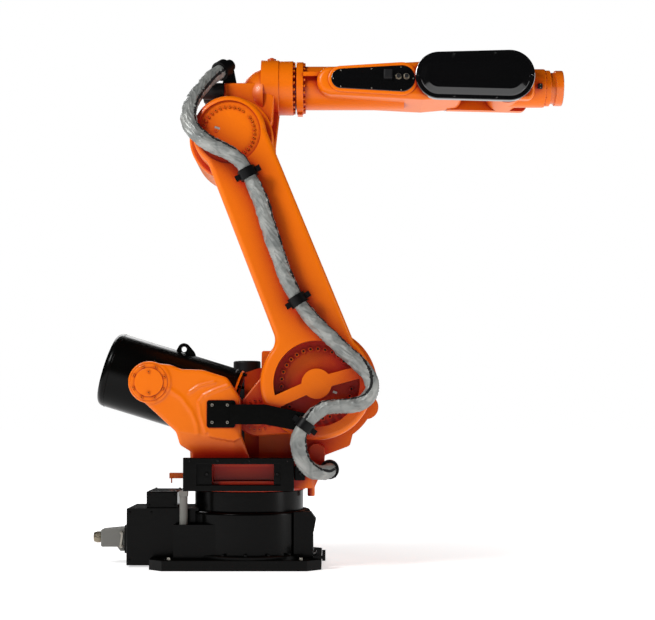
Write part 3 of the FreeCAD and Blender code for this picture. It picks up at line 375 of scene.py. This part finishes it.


# ---- Turntable, balancer ears and shoulder casting -----------------------------------------------
# Grey-iron castings, ground, filled and sprayed with two-pack orange polyurethane enamel. It gives
# a deep glossy orange with faint orange peel, and the filler softens every cast edge.
# The base colour carries painted shade: it turns deep red where ambient occlusion is high, in pockets,
# under the ears and between parts.
orange_enamel = enamel("orange_polyurethane_enamel", "EE7402", "E46A02", 0.34, 0.06, painted_shade_colour="A61C0A",
                       shine=0.25)
finish_nodes(orange_enamel, "carousel_turntable", "stop_pin", "shoulder_casting", "shoulder_gearbox",
             "trunnion_cap_right", "trunnion_cap_left", "rear_tab", "balancer_front_ring", "lower_arm",
             "rod_pin_cover", "elbow_housing", "elbow_gear_ring", "forearm_flange", "forearm_casting",
             "wrist_housing")
finish_nodes(black_enamel, "side_frame_right", "side_frame_left", "hose_bracket", "lifting_eye")

trunnion = pivot["balancer_tilt"] * 1000
cheek_ridges = [
    ([(-318, 759), (-267, 724), (-224, 665), (-203, 613), (-198, 575)], 4.0, 9.0),
    ([(-232, 746), (-198, 771), (-130, 788)], 5.0, 7.0),
    ([(-66, 777), (-130, 754), (-173, 733), (-194, 703), (-185, 648), (-164, 579)], 6.0, 7.0),
]
skirt_line = [(-300, 583), (-224, 572), (-164, 562), (-96, 548), (-45, 541), (-8, 560)]


def polyline_distance(x, z, line):
    best = 1e9
    for (ax, az), (bx, bz) in zip(line, line[1:]):
        dx, dz = bx - ax, bz - az
        t = min(1, max(0, ((x - ax) * dx + (z - az) * dz) / (dx * dx + dz * dz)))
        best = min(best, math.hypot(x - ax - t * dx, z - az - t * dz))
    return best


def ease(value):
    value = min(1.0, max(0.0, value))
    return value * value * (3 - 2 * value)


def cheek_relief(x, z):
    """Height in mm of the cast ridges, the raised hub and the sloping skirt of an ear's outer face."""
    lift = 6.0 * ease((96 - math.hypot(x - trunnion.x, z - trunnion.z)) / 8)
    for line, height, width in cheek_ridges:
        lift += height * math.exp(-(polyline_distance(x, z, line) / width) ** 2)
    skirt = np.interp(x, [p[0] for p in skirt_line], [p[1] for p in skirt_line])
    if z < skirt:
        return lift * ease((z - skirt + 20) / 20) - 0.34 * (skirt - z)
    panel = np.interp(z, [562, 648, 703, 733, 777], [-160, -185, -194, -173, -66])
    return lift + 4.0 * ease((x - panel) / 14) * ease((790 - z) / 20)


def cast_copy(node, voxel_mm, name):
    """Copy of a CAD node with the soft corners of a sand casting."""
    mesh = bmesh.new()
    mesh.from_mesh(nodes[node].data)
    bmesh.ops.remove_doubles(mesh, verts=mesh.verts, dist=1e-6)
    data = bpy.data.meshes.new(name)
    mesh.to_mesh(data)
    mesh.free()
    holder = bpy.data.objects.new(name, data)
    scene.collection.objects.link(holder)
    remesh = holder.modifiers.new("even", "REMESH")
    remesh.mode = "VOXEL"
    remesh.voxel_size = voxel_mm / 1000
    bpy.context.view_layer.update()
    ready = holder.evaluated_get(bpy.context.evaluated_depsgraph_get())
    even = bpy.data.meshes.new_from_object(ready)
    bpy.data.objects.remove(holder)
    mesh = bmesh.new()
    mesh.from_mesh(even)
    for _ in range(3):
        bmesh.ops.smooth_vert(mesh, verts=mesh.verts, factor=0.5, use_axis_x=True, use_axis_y=True,
                              use_axis_z=True)
    return mesh


for side, name in ((-1, "right"), (1, "left")):
    mesh = cast_copy(f"balancer_ear_{name}", 4.0, f"cast_ear_{name}")
    face_y = (mm_box(f"balancer_ear_{name}")[0 if side < 0 else 1]).y / 1000
    for vert in mesh.verts:
        depth = abs(vert.co.y - face_y)
        if depth < 0.045:
            share = 1 - depth / 0.045
            lift = cheek_relief(vert.co.x * 1000, vert.co.z * 1000) / 1000
            vert.co.y += side * lift * share
    ear = place_mesh(f"cast_ear_{name}", mesh, orange_enamel, "carousel", smooth=True)
    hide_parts(f"balancer_ear_{name}")

for side, name in ((-1, "right"), (1, "left")):
    cap_face = mm_box(f"trunnion_cap_{name}")[0 if side < 0 else 1].y
    rim_face = cap_face - side * 5
    screws(f"trunnion_cap_screws_{name}", cap_head,
           on_circle((trunnion.x, rim_face, trunnion.z), 69, range(20, 380, 45), "Y"),
           (0, side, 0), (5.5, 6), orange_enamel, "carousel")
    screws(f"trunnion_plugs_{name}", cap_head,
           on_circle((trunnion.x, cap_face, trunnion.z), 44, (90, 270), "Y"), (0, side, 0),
           (5.5, 5), orange_enamel, "carousel")

bracket_face = -308
screws("bracket_screws", cap_head, [(x, bracket_face, z) for x in (-138, -74) for z in (620, 692)],
       (0, -1, 0), (6.5, 6), zinc, "carousel")
frame_reach = abs(mm_box("side_frame_right")[0].y)
lip_sunk = 16
for side, name in ((-1, "right"), (1, "left")):
    frame_face = side * frame_reach
    lip_face = side * (frame_reach - lip_sunk)
    screws(f"frame_bolts_{name}", cap_head, [(x, lip_face, 404) for x in (-158, 134)], (0, side, 0),
           (10, 8), black_enamel, "carousel")
    lug_faces = sorted((side * 300, side * 312))
    rounded_box(f"frame_lug_{name}", (206, lug_faces[0], 378), (250, lug_faces[1], 440), 4, black_enamel,
                "carousel")
    screws(f"frame_lug_bolt_{name}", cap_head, [(230, side * 312, 405)], (0, side, 0), (10, 8),
           black_enamel, "carousel")
    screws(f"frame_rail_bolts_{name}", cap_head, [(x, frame_face, 460) for x in (-228, -110, 20, 178)],
           (0, side, 0), (6, 3), black_enamel, "carousel")
screws("deck_screws", cap_head, [(x, y, 450) for x in (-215, 255) for y in (-265, 265)], (0, 0, 1),
       (9, 9), orange_enamel, "carousel")


# ---- Servo motors ---------------------------------------------------------------------------------
# Aluminium servo motors with a fine-textured black powder coat, each held by four cap screws.
motor_coat = enamel("black_motor_powder_coat", "0A0A0C", "101012", 0.5, 0.0, grain_mm=1.5, peel_mm=0.1,
                    shine=0.3)
finish_nodes(motor_coat, "shoulder_motor", "turntable_motor", "elbow_motor", "wrist_motors")
for node, axis_pivot, reach, body in (("shoulder_motor", "shoulder_swing", 76, "carousel"),
                                      ("elbow_motor", "elbow_swing", 68, "elbow")):
    low, high = mm_box(node)
    centre = pivot[axis_pivot] * 1000
    spots = [(centre.x + sx * reach, low.y + 18, centre.z + sz * reach) for sx in (-1, 1) for sz in (-1, 1)]
    screws(node + "_screws", cap_head, spots, (0, 1, 0), (7, 8), zinc, body)
    screws(node + "_cap_screws", button_head,
           on_circle((centre.x, high.y, centre.z), reach * 0.82, (45, 135, 225, 315), "Y"), (0, 1, 0),
           (4, 3), zinc, body)
low, high = mm_box("turntable_motor")
middle = (low + high) / 2
screws("turntable_motor_screws", cap_head, [(middle.x + sx * 50, middle.y + sy * 50, 510)
       for sx in (-1, 1) for sy in (-1, 1)], (0, 0, 1), (6, 7), zinc, "carousel")


# ---- Balancing cylinder --------------------------------------------------------------------------
# A rolled and welded steel cylinder round a pack of springs, under the same black gloss enamel. Its
# orange front ring is held by black cap screws, and the hard-chromed rod runs through it.
finish_nodes(black_enamel, "balancer_shell")
chrome, tree, shader = new_material("ground_chromed_steel", "C4C2BE", 0.18, metallic=1.0)
finish_nodes(chrome, "balancer_rod", "rod_pin")
rod_pin = pivot["rod_swing"] * 1000
slope = math.atan2(trunnion.z - rod_pin.z, rod_pin.x - trunnion.x)
along = Vector((math.cos(slope), 0, -math.sin(slope)))
upward = Vector((math.sin(slope), 0, math.cos(slope)))
shell_y = (mm_box("balancer_front_ring")[0].y + mm_box("balancer_front_ring")[1].y) / 2
axis_spot = Vector((trunnion.x, shell_y, trunnion.z))
ring_end = 350
spots = []
for k in range(10):
    angle = 2 * math.pi * (k + 0.5) / 10
    spots.append(axis_spot + along * ring_end + upward * 157 * math.cos(angle)
                 + Vector((0, 157 * math.sin(angle), 0)))
screws("front_ring_screws", cap_head, spots, tuple(along), (7, 12), black_enamel, "balancer_cylinder")


def ring_bead(name, at, radius, thick, paint, body, corners=96):
    """Round bead about the balancing cylinder's axis, such as a weld or a groove lip."""
    mesh = bmesh.new()
    loops = []
    for k in range(corners):
        angle = 2 * math.pi * k / corners
        out = upward * math.cos(angle) + Vector((0, math.sin(angle), 0))
        loop = []
        for j in range(6):
            lift = 2 * math.pi * j / 6
            wave = 1 + 0.25 * noise.noise(Vector((k * 0.9, j, at)))
            spot = axis_spot + along * (at + thick * wave * math.cos(lift)) + out * (radius + thick * wave
                                                                                    * math.sin(lift))
            loop.append(mesh.verts.new(spot / 1000))
        loops.append(loop)
    for k in range(corners):
        for j in range(6):
            mesh.faces.new((loops[k][j], loops[(k + 1) % corners][j],
                            loops[(k + 1) % corners][(j + 1) % 6], loops[k][(j + 1) % 6]))
    bmesh.ops.recalc_face_normals(mesh, faces=mesh.faces)
    return place_mesh(name, mesh, paint, body, smooth=True)


ring_bead("front_weld", 322, 164, 2.2, black_enamel, "balancer_cylinder")
ring_bead("rear_weld", -192, 164, 1.8, black_enamel, "balancer_cylinder")


# ---- Lower arm ------------------------------------------------------------------------------------
# One long iron casting. Painted cap screws round its shoulder pocket hold it to the gearbox, clear of
# the two cast spokes, and groups of smaller ones in the upper dish hold the elbow gearbox.
shoulder = pivot["shoulder_swing"] * 1000
elbow = pivot["elbow_swing"] * 1000
arm_face = -330
pocket_depth = 60
spoke_clearance = 39
spoke_angles = (math.radians(15), math.radians(204))
pocket_spots = []
for spot in on_circle((shoulder.x, arm_face + pocket_depth, shoulder.z), 148, range(4, 364, 12), "Y"):
    offset = Vector((spot[0] - shoulder.x, spot[2] - shoulder.z))
    near_spoke = False
    for angle in spoke_angles:
        spoke = Vector((math.cos(angle), math.sin(angle)))
        near_spoke |= offset.dot(spoke) > 0 and abs(offset.cross(spoke)) < spoke_clearance
    if not near_spoke:
        pocket_spots.append(spot)
screws("shoulder_screws", cap_head, pocket_spots, (0, -1, 0), (10.5, 16), orange_enamel, "lower_arm")
dish_floor = arm_face + 9
dish_angles = [165 - 10.8 * k for k in range(11)] + [36 - 9.8 * k for k in range(11)] + [196, 206, 250, 260]
screws("elbow_screws", cap_head, on_circle((elbow.x, dish_floor, elbow.z), 106, dish_angles, "Y"),
       (0, -1, 0), (5.4, 6.5), orange_enamel, "lower_arm")
screws("dish_plug", button_head, [(-123, dish_floor, 1843)], (0, -1, 0), (8, 3), orange_enamel, "lower_arm")
blank_tag, tree, shader = new_material("brushed_aluminium_tag", "B9B9B6", 0.4, metallic=0.8)
rounded_box("blank_tag", (-130, dish_floor - 1.2, 1850), (-108, dish_floor, 1859), 0.5, blank_tag,
            "lower_arm", turn=20, segments=1)
pin_spots = [s for s in on_circle((rod_pin.x, -234, rod_pin.z), 62, range(0, 360, 20), "Y")
             if math.hypot(s[0] - shoulder.x, s[2] - shoulder.z) > 250]
screws("rod_pin_screws", cap_head, pin_spots, (0, -1, 0), (5.5, 6), orange_enamel, "lower_arm")
screws("rod_pin_cover_screws", button_head,
       on_circle((rod_pin.x, -240, rod_pin.z), 34, range(0, 360, 60), "Y"),
       (0, -1, 0), (4, 3), orange_enamel, "lower_arm")
rounded_box("pocket_tag", (366, arm_face + 57.6, 741), (384, arm_face + 60, 751), 0.5, blank_tag,
            "lower_arm", turn=20, segments=1)


# ---- Elbow housing and its gear ring ------------------------------------------------------------
# Iron housing that carries the elbow gearbox and the three wrist motors. Two rings of hex-head
# screws, painted over, hold the forearm's roll gearbox on each side of its turning seam.
roll_x = pivot["forearm_roll"].x * 1000
axis_z = pivot["forearm_roll"].z * 1000
screws("roll_gear_screws", hex_head, on_circle((roll_x, 0, axis_z), 107, range(0, 360, 15), "X"),
       (1, 0, 0), (7.2, 9), orange_enamel, "elbow")
screws("top_plug", hex_head, [(96, 0, mm_box("elbow_housing")[1].z)], (0, 0, 1), (10, 6), orange_enamel,
       "elbow")
for k, y in enumerate((-76, 0, 76)):
    back = mm_box("wrist_motors")[0].x
    screws(f"wrist_motor_screws_{k}", cap_head,
           on_circle((back, y, axis_z - 30), 25, (45, 135, 225, 315), "X"), (-1, 0, 0), (3.2, 3), zinc,
           "elbow")


# ---- Forearm, belt cover and service plate -------------------------------------------------------
# Aluminium casting in the same orange enamel. A pressed black cover with a broad bevel closes the
# wrist belts, and a flat black plate carries the service socket and two air couplings.
flange_front = mm_box("forearm_flange")[1].x
screws("roll_flange_screws", hex_head, on_circle((flange_front, 0, axis_z), 104.5, range(7, 367, 15), "X"),
       (1, 0, 0), (6.6, 9), orange_enamel, "forearm")
gloss_black = enamel("black_gloss_abs", "060607", "0A0A0B", 0.12, 0.9, grain_mm=6.0, peel_mm=0.02)
finish_nodes(gloss_black, "window_cover", "far_cover")
wrist = pivot["wrist_bend"] * 1000


def stadium(x0, r0, x1, r1, z, inset, y, steps=40):
    """Points in mm round two discs on a level line, inset from their edge."""
    tilt = math.asin((r0 - r1) / (x1 - x0))
    points = []
    for x, r, start in ((x0, r0, math.pi / 2 - tilt), (x1, r1, -math.pi / 2 + tilt)):
        sweep = math.pi + 2 * tilt if x == x0 else math.pi - 2 * tilt
        for k in range(steps + 1):
            angle = start + sweep * k / steps
            points.append(Vector((x + (r - inset) * math.cos(angle), y, z + (r - inset) * math.sin(angle))))
    return points


def pressed_cover(name, outline, profile, paint, body):
    """Closed cover lofted through an outline at each (inset, y) of its profile, in mm."""
    mesh = bmesh.new()
    loops = [[mesh.verts.new(p / 1000) for p in stadium(*outline, inset, y)] for inset, y in profile]
    count = len(loops[0])
    for low, high in zip(loops, loops[1:]):
        for k in range(count):
            mesh.faces.new((low[k], low[(k + 1) % count], high[(k + 1) % count], high[k]))
    mesh.faces.new(loops[0])
    mesh.faces.new(loops[-1])
    bmesh.ops.recalc_face_normals(mesh, faces=mesh.faces)
    return place_mesh(name, mesh, paint, body)


cover_rise = 18
cover_z = axis_z + cover_rise
cover_outline = (wrist.x - 306, 102, wrist.x - 2, 110, cover_z)
cover = pressed_cover("belt_cover", cover_outline,
                      [(0, -150), (0, -174), (0.8, -176.6), (3, -177.8), (19, -178), (21, -178.4),
                       (24, -181), (45, -187), (48, -187.8), (52, -188)],
                      gloss_black, "forearm")
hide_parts("oval_cover")
rim_spots = [(888, cover_z + 92), (1065, cover_z + 97), (wrist.x - 2 + 99, cover_z), (1070, cover_z - 97),
             (888, cover_z - 92), (wrist.x - 306 - 91, cover_z)]
screws("belt_cover_screws", button_head, [(x, -178, z) for x, z in rim_spots], (0, -1, 0), (5, 3.5),
       gloss_black, "forearm")
plate_x = wrist.x - 306 - 160
plate_z = axis_z + 8
plate_outline = (plate_x - 262, 43, plate_x, 58, plate_z)
edge = stadium(*plate_outline, 8, -157, steps=8)
screws("service_plate_screws", button_head, [edge[k] for k in (0, 4, 8, 9, 13, 17)]
       + [(plate_x - 131, -157, plate_z + 42), (plate_x - 131, -157, plate_z - 42)], (0, -1, 0),
       (3.2, 2), zinc, "forearm")
pressed_cover("service_plate_pad", (plate_x - 262, 56, plate_x, 72, plate_z),
              [(0, -146), (0, -151), (1, -153.5), (4, -154.6), (8, -155)], orange_enamel, "forearm")


def turned_piece(name, centre, profile, axis, paint, body, corners=32):
    """Piece turned about an axis through a point, from (radius, distance) in mm."""
    mesh = bmesh.new()
    turn = Vector((0, 0, 1)).rotation_difference(Vector(axis)).to_matrix()
    loops = []
    for radius, height in profile:
        loops.append([mesh.verts.new((Vector(centre) + turn @ Vector(
            (radius * math.cos(2 * math.pi * k / corners), radius * math.sin(2 * math.pi * k / corners),
             height))) / 1000) for k in range(corners)])
    for low, high in zip(loops, loops[1:]):
        for k in range(corners):
            mesh.faces.new((low[k], low[(k + 1) % corners], high[(k + 1) % corners], high[k]))
    mesh.faces.new(loops[0])
    mesh.faces.new(loops[-1])
    bmesh.ops.recalc_face_normals(mesh, faces=mesh.faces)
    return place_mesh(name, mesh, paint, body)


socket_black = enamel("black_glass_filled_nylon", "0E0E10", "161618", 0.55, 0.0, grain_mm=1.2, peel_mm=0.1,
                      shine=0.3)
lid_x, lid_z = plate_x - 60, plate_z + 18
socket = rounded_box("service_socket", (lid_x - 18, -171, lid_z - 20), (lid_x + 18, -157, lid_z + 20), 3,
                     socket_black, "forearm")
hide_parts("service_ports")
rounded_box("service_socket_lid", (lid_x - 14, -174, lid_z - 13), (lid_x + 14, -170, lid_z + 17), 1.5,
            motor_coat, "forearm")
for k, x in enumerate((plate_x - 14, plate_x + 20)):
    turned_piece(f"air_coupling_{k}", (x, -157, plate_z + 8),
                 [(13, 0), (13, 4), (11.5, 6), (11.5, 10), (10.5, 12), (7.5, 12), (6.5, 11), (6.5, 4)],
                 (0, -1, 0), nickel, "forearm")
    turned_piece(f"air_coupling_plug_{k}", (x, -157, plate_z + 8), [(9.4, 10), (9.4, 13), (8.4, 14)],
                 (0, -1, 0), socket_black, "forearm")
screws("far_cover_screws", button_head,
       [(x, 164, axis_z + s * 54) for x in (900, 1020, 1110) for s in (-1, 1)],
       (0, 1, 0), (4.5, 3), zinc, "forearm")


# ---- Wrist and tool flange -------------------------------------------------------------------------
# Orange wrist housing with a small black sensor plug. The tool flange is painted on its rim, and its
# face is bare turned steel.
flange_paint, tree, shader = new_material("painted_flange_with_turned_face", "E2690A", 0.3, coat=0.2)
place = add(tree, "ShaderNodeTexCoord").outputs["Object"]
split = add(tree, "ShaderNodeSeparateXYZ", {0: place})
face_x = mm_box("tool_flange")[1].x / 1000
bare = add(tree, "ShaderNodeMath", {0: split.outputs[0], 1: face_x - 0.0015}, operation="GREATER_THAN")
colour = add(tree, "ShaderNodeMix", {0: bare.outputs[0], 6: linear("E2690A"), 7: linear("8F8C86")},
             data_type="RGBA")
tree.links.new(colour.outputs[2], shader.inputs["Base Color"])
tree.links.new(bare.outputs[0], shader.inputs["Metallic"])
finish_nodes(flange_paint, "tool_flange")
rounded_box("wrist_plug", (1262, -97, axis_z - 22), (1282, -82, axis_z), 2.5, socket_black, "wrist")
screws("wrist_plug_screws", button_head, [(1272, -97, axis_z - down) for down in (18, 4)], (0, -1, 0),
       (2.4, 1.6), zinc, "wrist")
screws("wrist_rim_screws", cap_head, on_circle((mm_box("wrist_housing")[1].x - 24, 0, axis_z), 79,
       range(15, 375, 30), "X"), (1, 0, 0), (3.2, 4), orange_enamel, "wrist")


# ---- Hose: cable bundle in a fabric sleeve -------------------------------------------------------
# Motor and signal cables wrapped in a silver-grey coated fabric sleeve, closed along one side by a
# ragged black hook-and-loop strip. It is cut loose, so it gathers into folds between the clamps.
clamp_black = enamel("black_moulded_polyamide", "040405", "09090A", 0.4, 0.0, grain_mm=1.6, peel_mm=0.08,
                     shine=0.15)
finish_nodes(clamp_black, "bracket_clamp", "arm_clamp_low", "arm_clamp_high", "hose_end_bracket",
             "hose_outlet")
hose_diameter = 0.060
hose_routes = {
    "hose_carousel": [(352, -262, 422), (352, -322, 422), (326, -358, 409), (278, -377, 418),
                      (238, -393, 462), (222, -398, 524), (227, -398, 577), (251, -398, 609)],
    "hose_shoulder_loop": [(251, -398, 609), (281, -398, 649), (335, -399, 686), (405, -400, 686),
                           (480, -400, 692), (528, -400, 740), (524, -400, 806), (474, -396, 862),
                           (404, -393, 922), (338, -388, 988), (255, -385, 1070), (222, -385, 1125)],
    "hose_arm": [(222, -385, 1125), (186, -385, 1185), (152, -383, 1272), (120, -384, 1372),
                 (88, -384, 1466), (59, -385, 1562), (14, -385, 1652)],
    "hose_elbow_loop": [(14, -385, 1652), (-10, -385, 1700), (-64, -390, 1738), (-130, -394, 1764),
                        (-188, -388, 1800), (-230, -374, 1856), (-240, -352, 1916),
                        (-222, -296, 1982), (-194, -219, 2047), (-156, -151, 2114),
                        (-106, -78, 2166)],
}

sleeve, tree, shader = new_material("silver_coated_fabric", "989A96", 0.45, metallic=0.3)
around_along = add(tree, "ShaderNodeUVMap", uv_map="along").outputs["UV"]
weave = add(tree, "ShaderNodeTexNoise", {"Vector": around_along, "Scale": 300.0, "Detail": 2.0})
crease = add(tree, "ShaderNodeTexNoise", {"Vector": around_along, "Scale": 14.0, "Detail": 2.0,
             "Distortion": 1.2})
# Painted shade: the base colour darkens with the same noise that sinks the bump, so the crease valleys are
# coloured darker.
painted_crease_shade = add(tree, "ShaderNodeValToRGB", {"Fac": crease.outputs["Fac"]})
painted_crease_shade.color_ramp.elements[0].position, painted_crease_shade.color_ramp.elements[0].color = 0.32, linear("787B79")
painted_crease_shade.color_ramp.elements[1].position, painted_crease_shade.color_ramp.elements[1].color = 0.68, linear("9E9F9B")
tree.links.new(painted_crease_shade.outputs["Color"], shader.inputs["Base Color"])
low = add(tree, "ShaderNodeBump", {"Height": crease.outputs["Fac"], "Distance": 0.003, "Strength": 0.6})
fine = add(tree, "ShaderNodeBump", {"Height": weave.outputs["Fac"], "Distance": 0.0002,
           "Normal": low.outputs["Normal"]})
tree.links.new(fine.outputs["Normal"], shader.inputs["Normal"])
loop_tape, tree, shader = new_material("black_hook_and_loop_tape", "0B0B0C", 0.9)
place = add(tree, "ShaderNodeTexCoord").outputs["Object"]
pile = add(tree, "ShaderNodeTexNoise", {"Vector": place, "Scale": 500.0})
rough = add(tree, "ShaderNodeBump", {"Height": pile.outputs["Fac"], "Distance": 0.001})
tree.links.new(rough.outputs["Normal"], shader.inputs["Normal"])


def smooth_line(name):
    """Points read along the NURBS line through a route's control points, in metres."""
    curve = bpy.data.curves.new(name, "CURVE")
    curve.dimensions = "3D"
    curve.resolution_u = 24
    spline = curve.splines.new("NURBS")
    points = hose_routes[name]
    spline.points.add(len(points) - 1)
    for control, point in zip(spline.points, points):
        control.co = (*(v / 1000 for v in point), 1)
    spline.order_u = 3
    spline.use_endpoint_u = True
    holder = bpy.data.objects.new(name, curve)
    mesh = bpy.data.meshes.new_from_object(holder)
    line = [v.co.copy() for v in mesh.vertices]
    bpy.data.objects.remove(holder)
    return line


def evenly(line, step):
    """The same line with its points a step apart, and its length."""
    spans = [(b - a).length for a, b in zip(line, line[1:])]
    marks = np.concatenate([[0], np.cumsum(spans)])
    wanted = np.linspace(0, marks[-1], round(marks[-1] / step) + 1)
    columns = [np.interp(wanted, marks, [p[i] for p in line]) for i in range(3)]
    return [Vector(p) for p in zip(*columns)], float(marks[-1])


def fabric_sleeve(name, seed, seam_side):
    """Loose fabric tube along a route, with folds that grow between its two clamps."""
    step, around = 0.003, 64
    line, total = evenly(smooth_line(name), step)
    radius = hose_diameter / 2
    side = (line[1] - line[0]).normalized().orthogonal().normalized()
    mesh = bmesh.new()
    uv = mesh.loops.layers.uv.new("along")
    rings, seam_angle = [], None
    for i, here in enumerate(line):
        ahead = (line[min(i + 1, len(line) - 1)] - line[max(i - 1, 0)]).normalized()
        side = (side - ahead * side.dot(ahead)).normalized()
        up = ahead.cross(side)
        wanted = math.atan2(Vector(seam_side).dot(up), Vector(seam_side).dot(side))
        if seam_angle is None:
            seam_angle = wanted
        miss = (wanted - seam_angle + math.pi) % (2 * math.pi) - math.pi
        seam_angle += max(-0.03, min(0.03, miss))
        walked = i * step
        loose = ease((min(walked, total - walked) - 0.020) / 0.05)
        ring = []
        for k in range(around):
            turn = 2 * math.pi * k / around
            slant = turn + walked * 9
            sample = Vector((math.cos(slant) * 1.5, math.sin(slant) * 1.5, walked * 11 + seed * 9))
            crest = max(0.0, 1 - abs(noise.noise(sample * 1.5)) * 3.2) ** 2
            billow = noise.noise(sample * 0.7 + Vector((3, 1, 4)))
            pucker = max(0.0, 1 - abs(noise.noise(Vector((turn * 1.2, walked * 46, seed)))) * 4)
            near_seam = math.exp(-(min(turn, 2 * math.pi - turn) / 0.5) ** 2)
            swell = loose * (0.0042 * crest + 0.0038 * billow + 0.003 * near_seam * pucker) - 0.0012
            flat = 1 - 0.05 * loose * math.cos(2 * turn + walked * 7)
            angle = turn + seam_angle
            reach = min((radius + swell) * flat, radius + 0.0075)
            ring.append(mesh.verts.new(here + (side * math.cos(angle) + up * math.sin(angle)) * reach))
        rings.append(ring)
    for i in range(len(rings) - 1):
        ragged = 0.5 + noise.noise(Vector((i * step * 90, seed * 3, 0))) * 1.6
        for k in range(around):
            face = mesh.faces.new((rings[i][k], rings[i][(k + 1) % around],
                                   rings[i + 1][(k + 1) % around], rings[i + 1][k]))
            face.smooth = True
            from_seam = min(k, around - 1 - k)
            face.material_index = 1 if from_seam <= 1 + ragged else 0
            for loop, (a, b) in zip(face.loops, ((i, k), (i, k + 1), (i + 1, k + 1), (i + 1, k))):
                loop[uv].uv = (b / around * math.pi * hose_diameter, a * step)
    mesh.faces.new(rings[0][::-1])
    mesh.faces.new(rings[-1])
    bmesh.ops.recalc_face_normals(mesh, faces=mesh.faces)
    data = bpy.data.meshes.new(name + "_sleeve")
    mesh.to_mesh(data)
    mesh.free()
    data.materials.append(sleeve)
    data.materials.append(loop_tape)
    tube = bpy.data.objects.new(name + "_sleeve", data)
    scene.collection.objects.link(tube)
    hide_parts(name)
    return tube


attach(fabric_sleeve("hose_carousel", 1, (1, -0.3, 0.3)), "carousel")
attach(fabric_sleeve("hose_arm", 3, (1, -0.35, 0)), "lower_arm")
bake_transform(fabric_sleeve("hose_shoulder_loop", 2, (0.5, -0.4, 1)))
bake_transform(fabric_sleeve("hose_elbow_loop", 4, (1, -0.4, 0.4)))


for template in (cap_head, button_head, hex_head, hex_key):
    bpy.data.objects.remove(template)
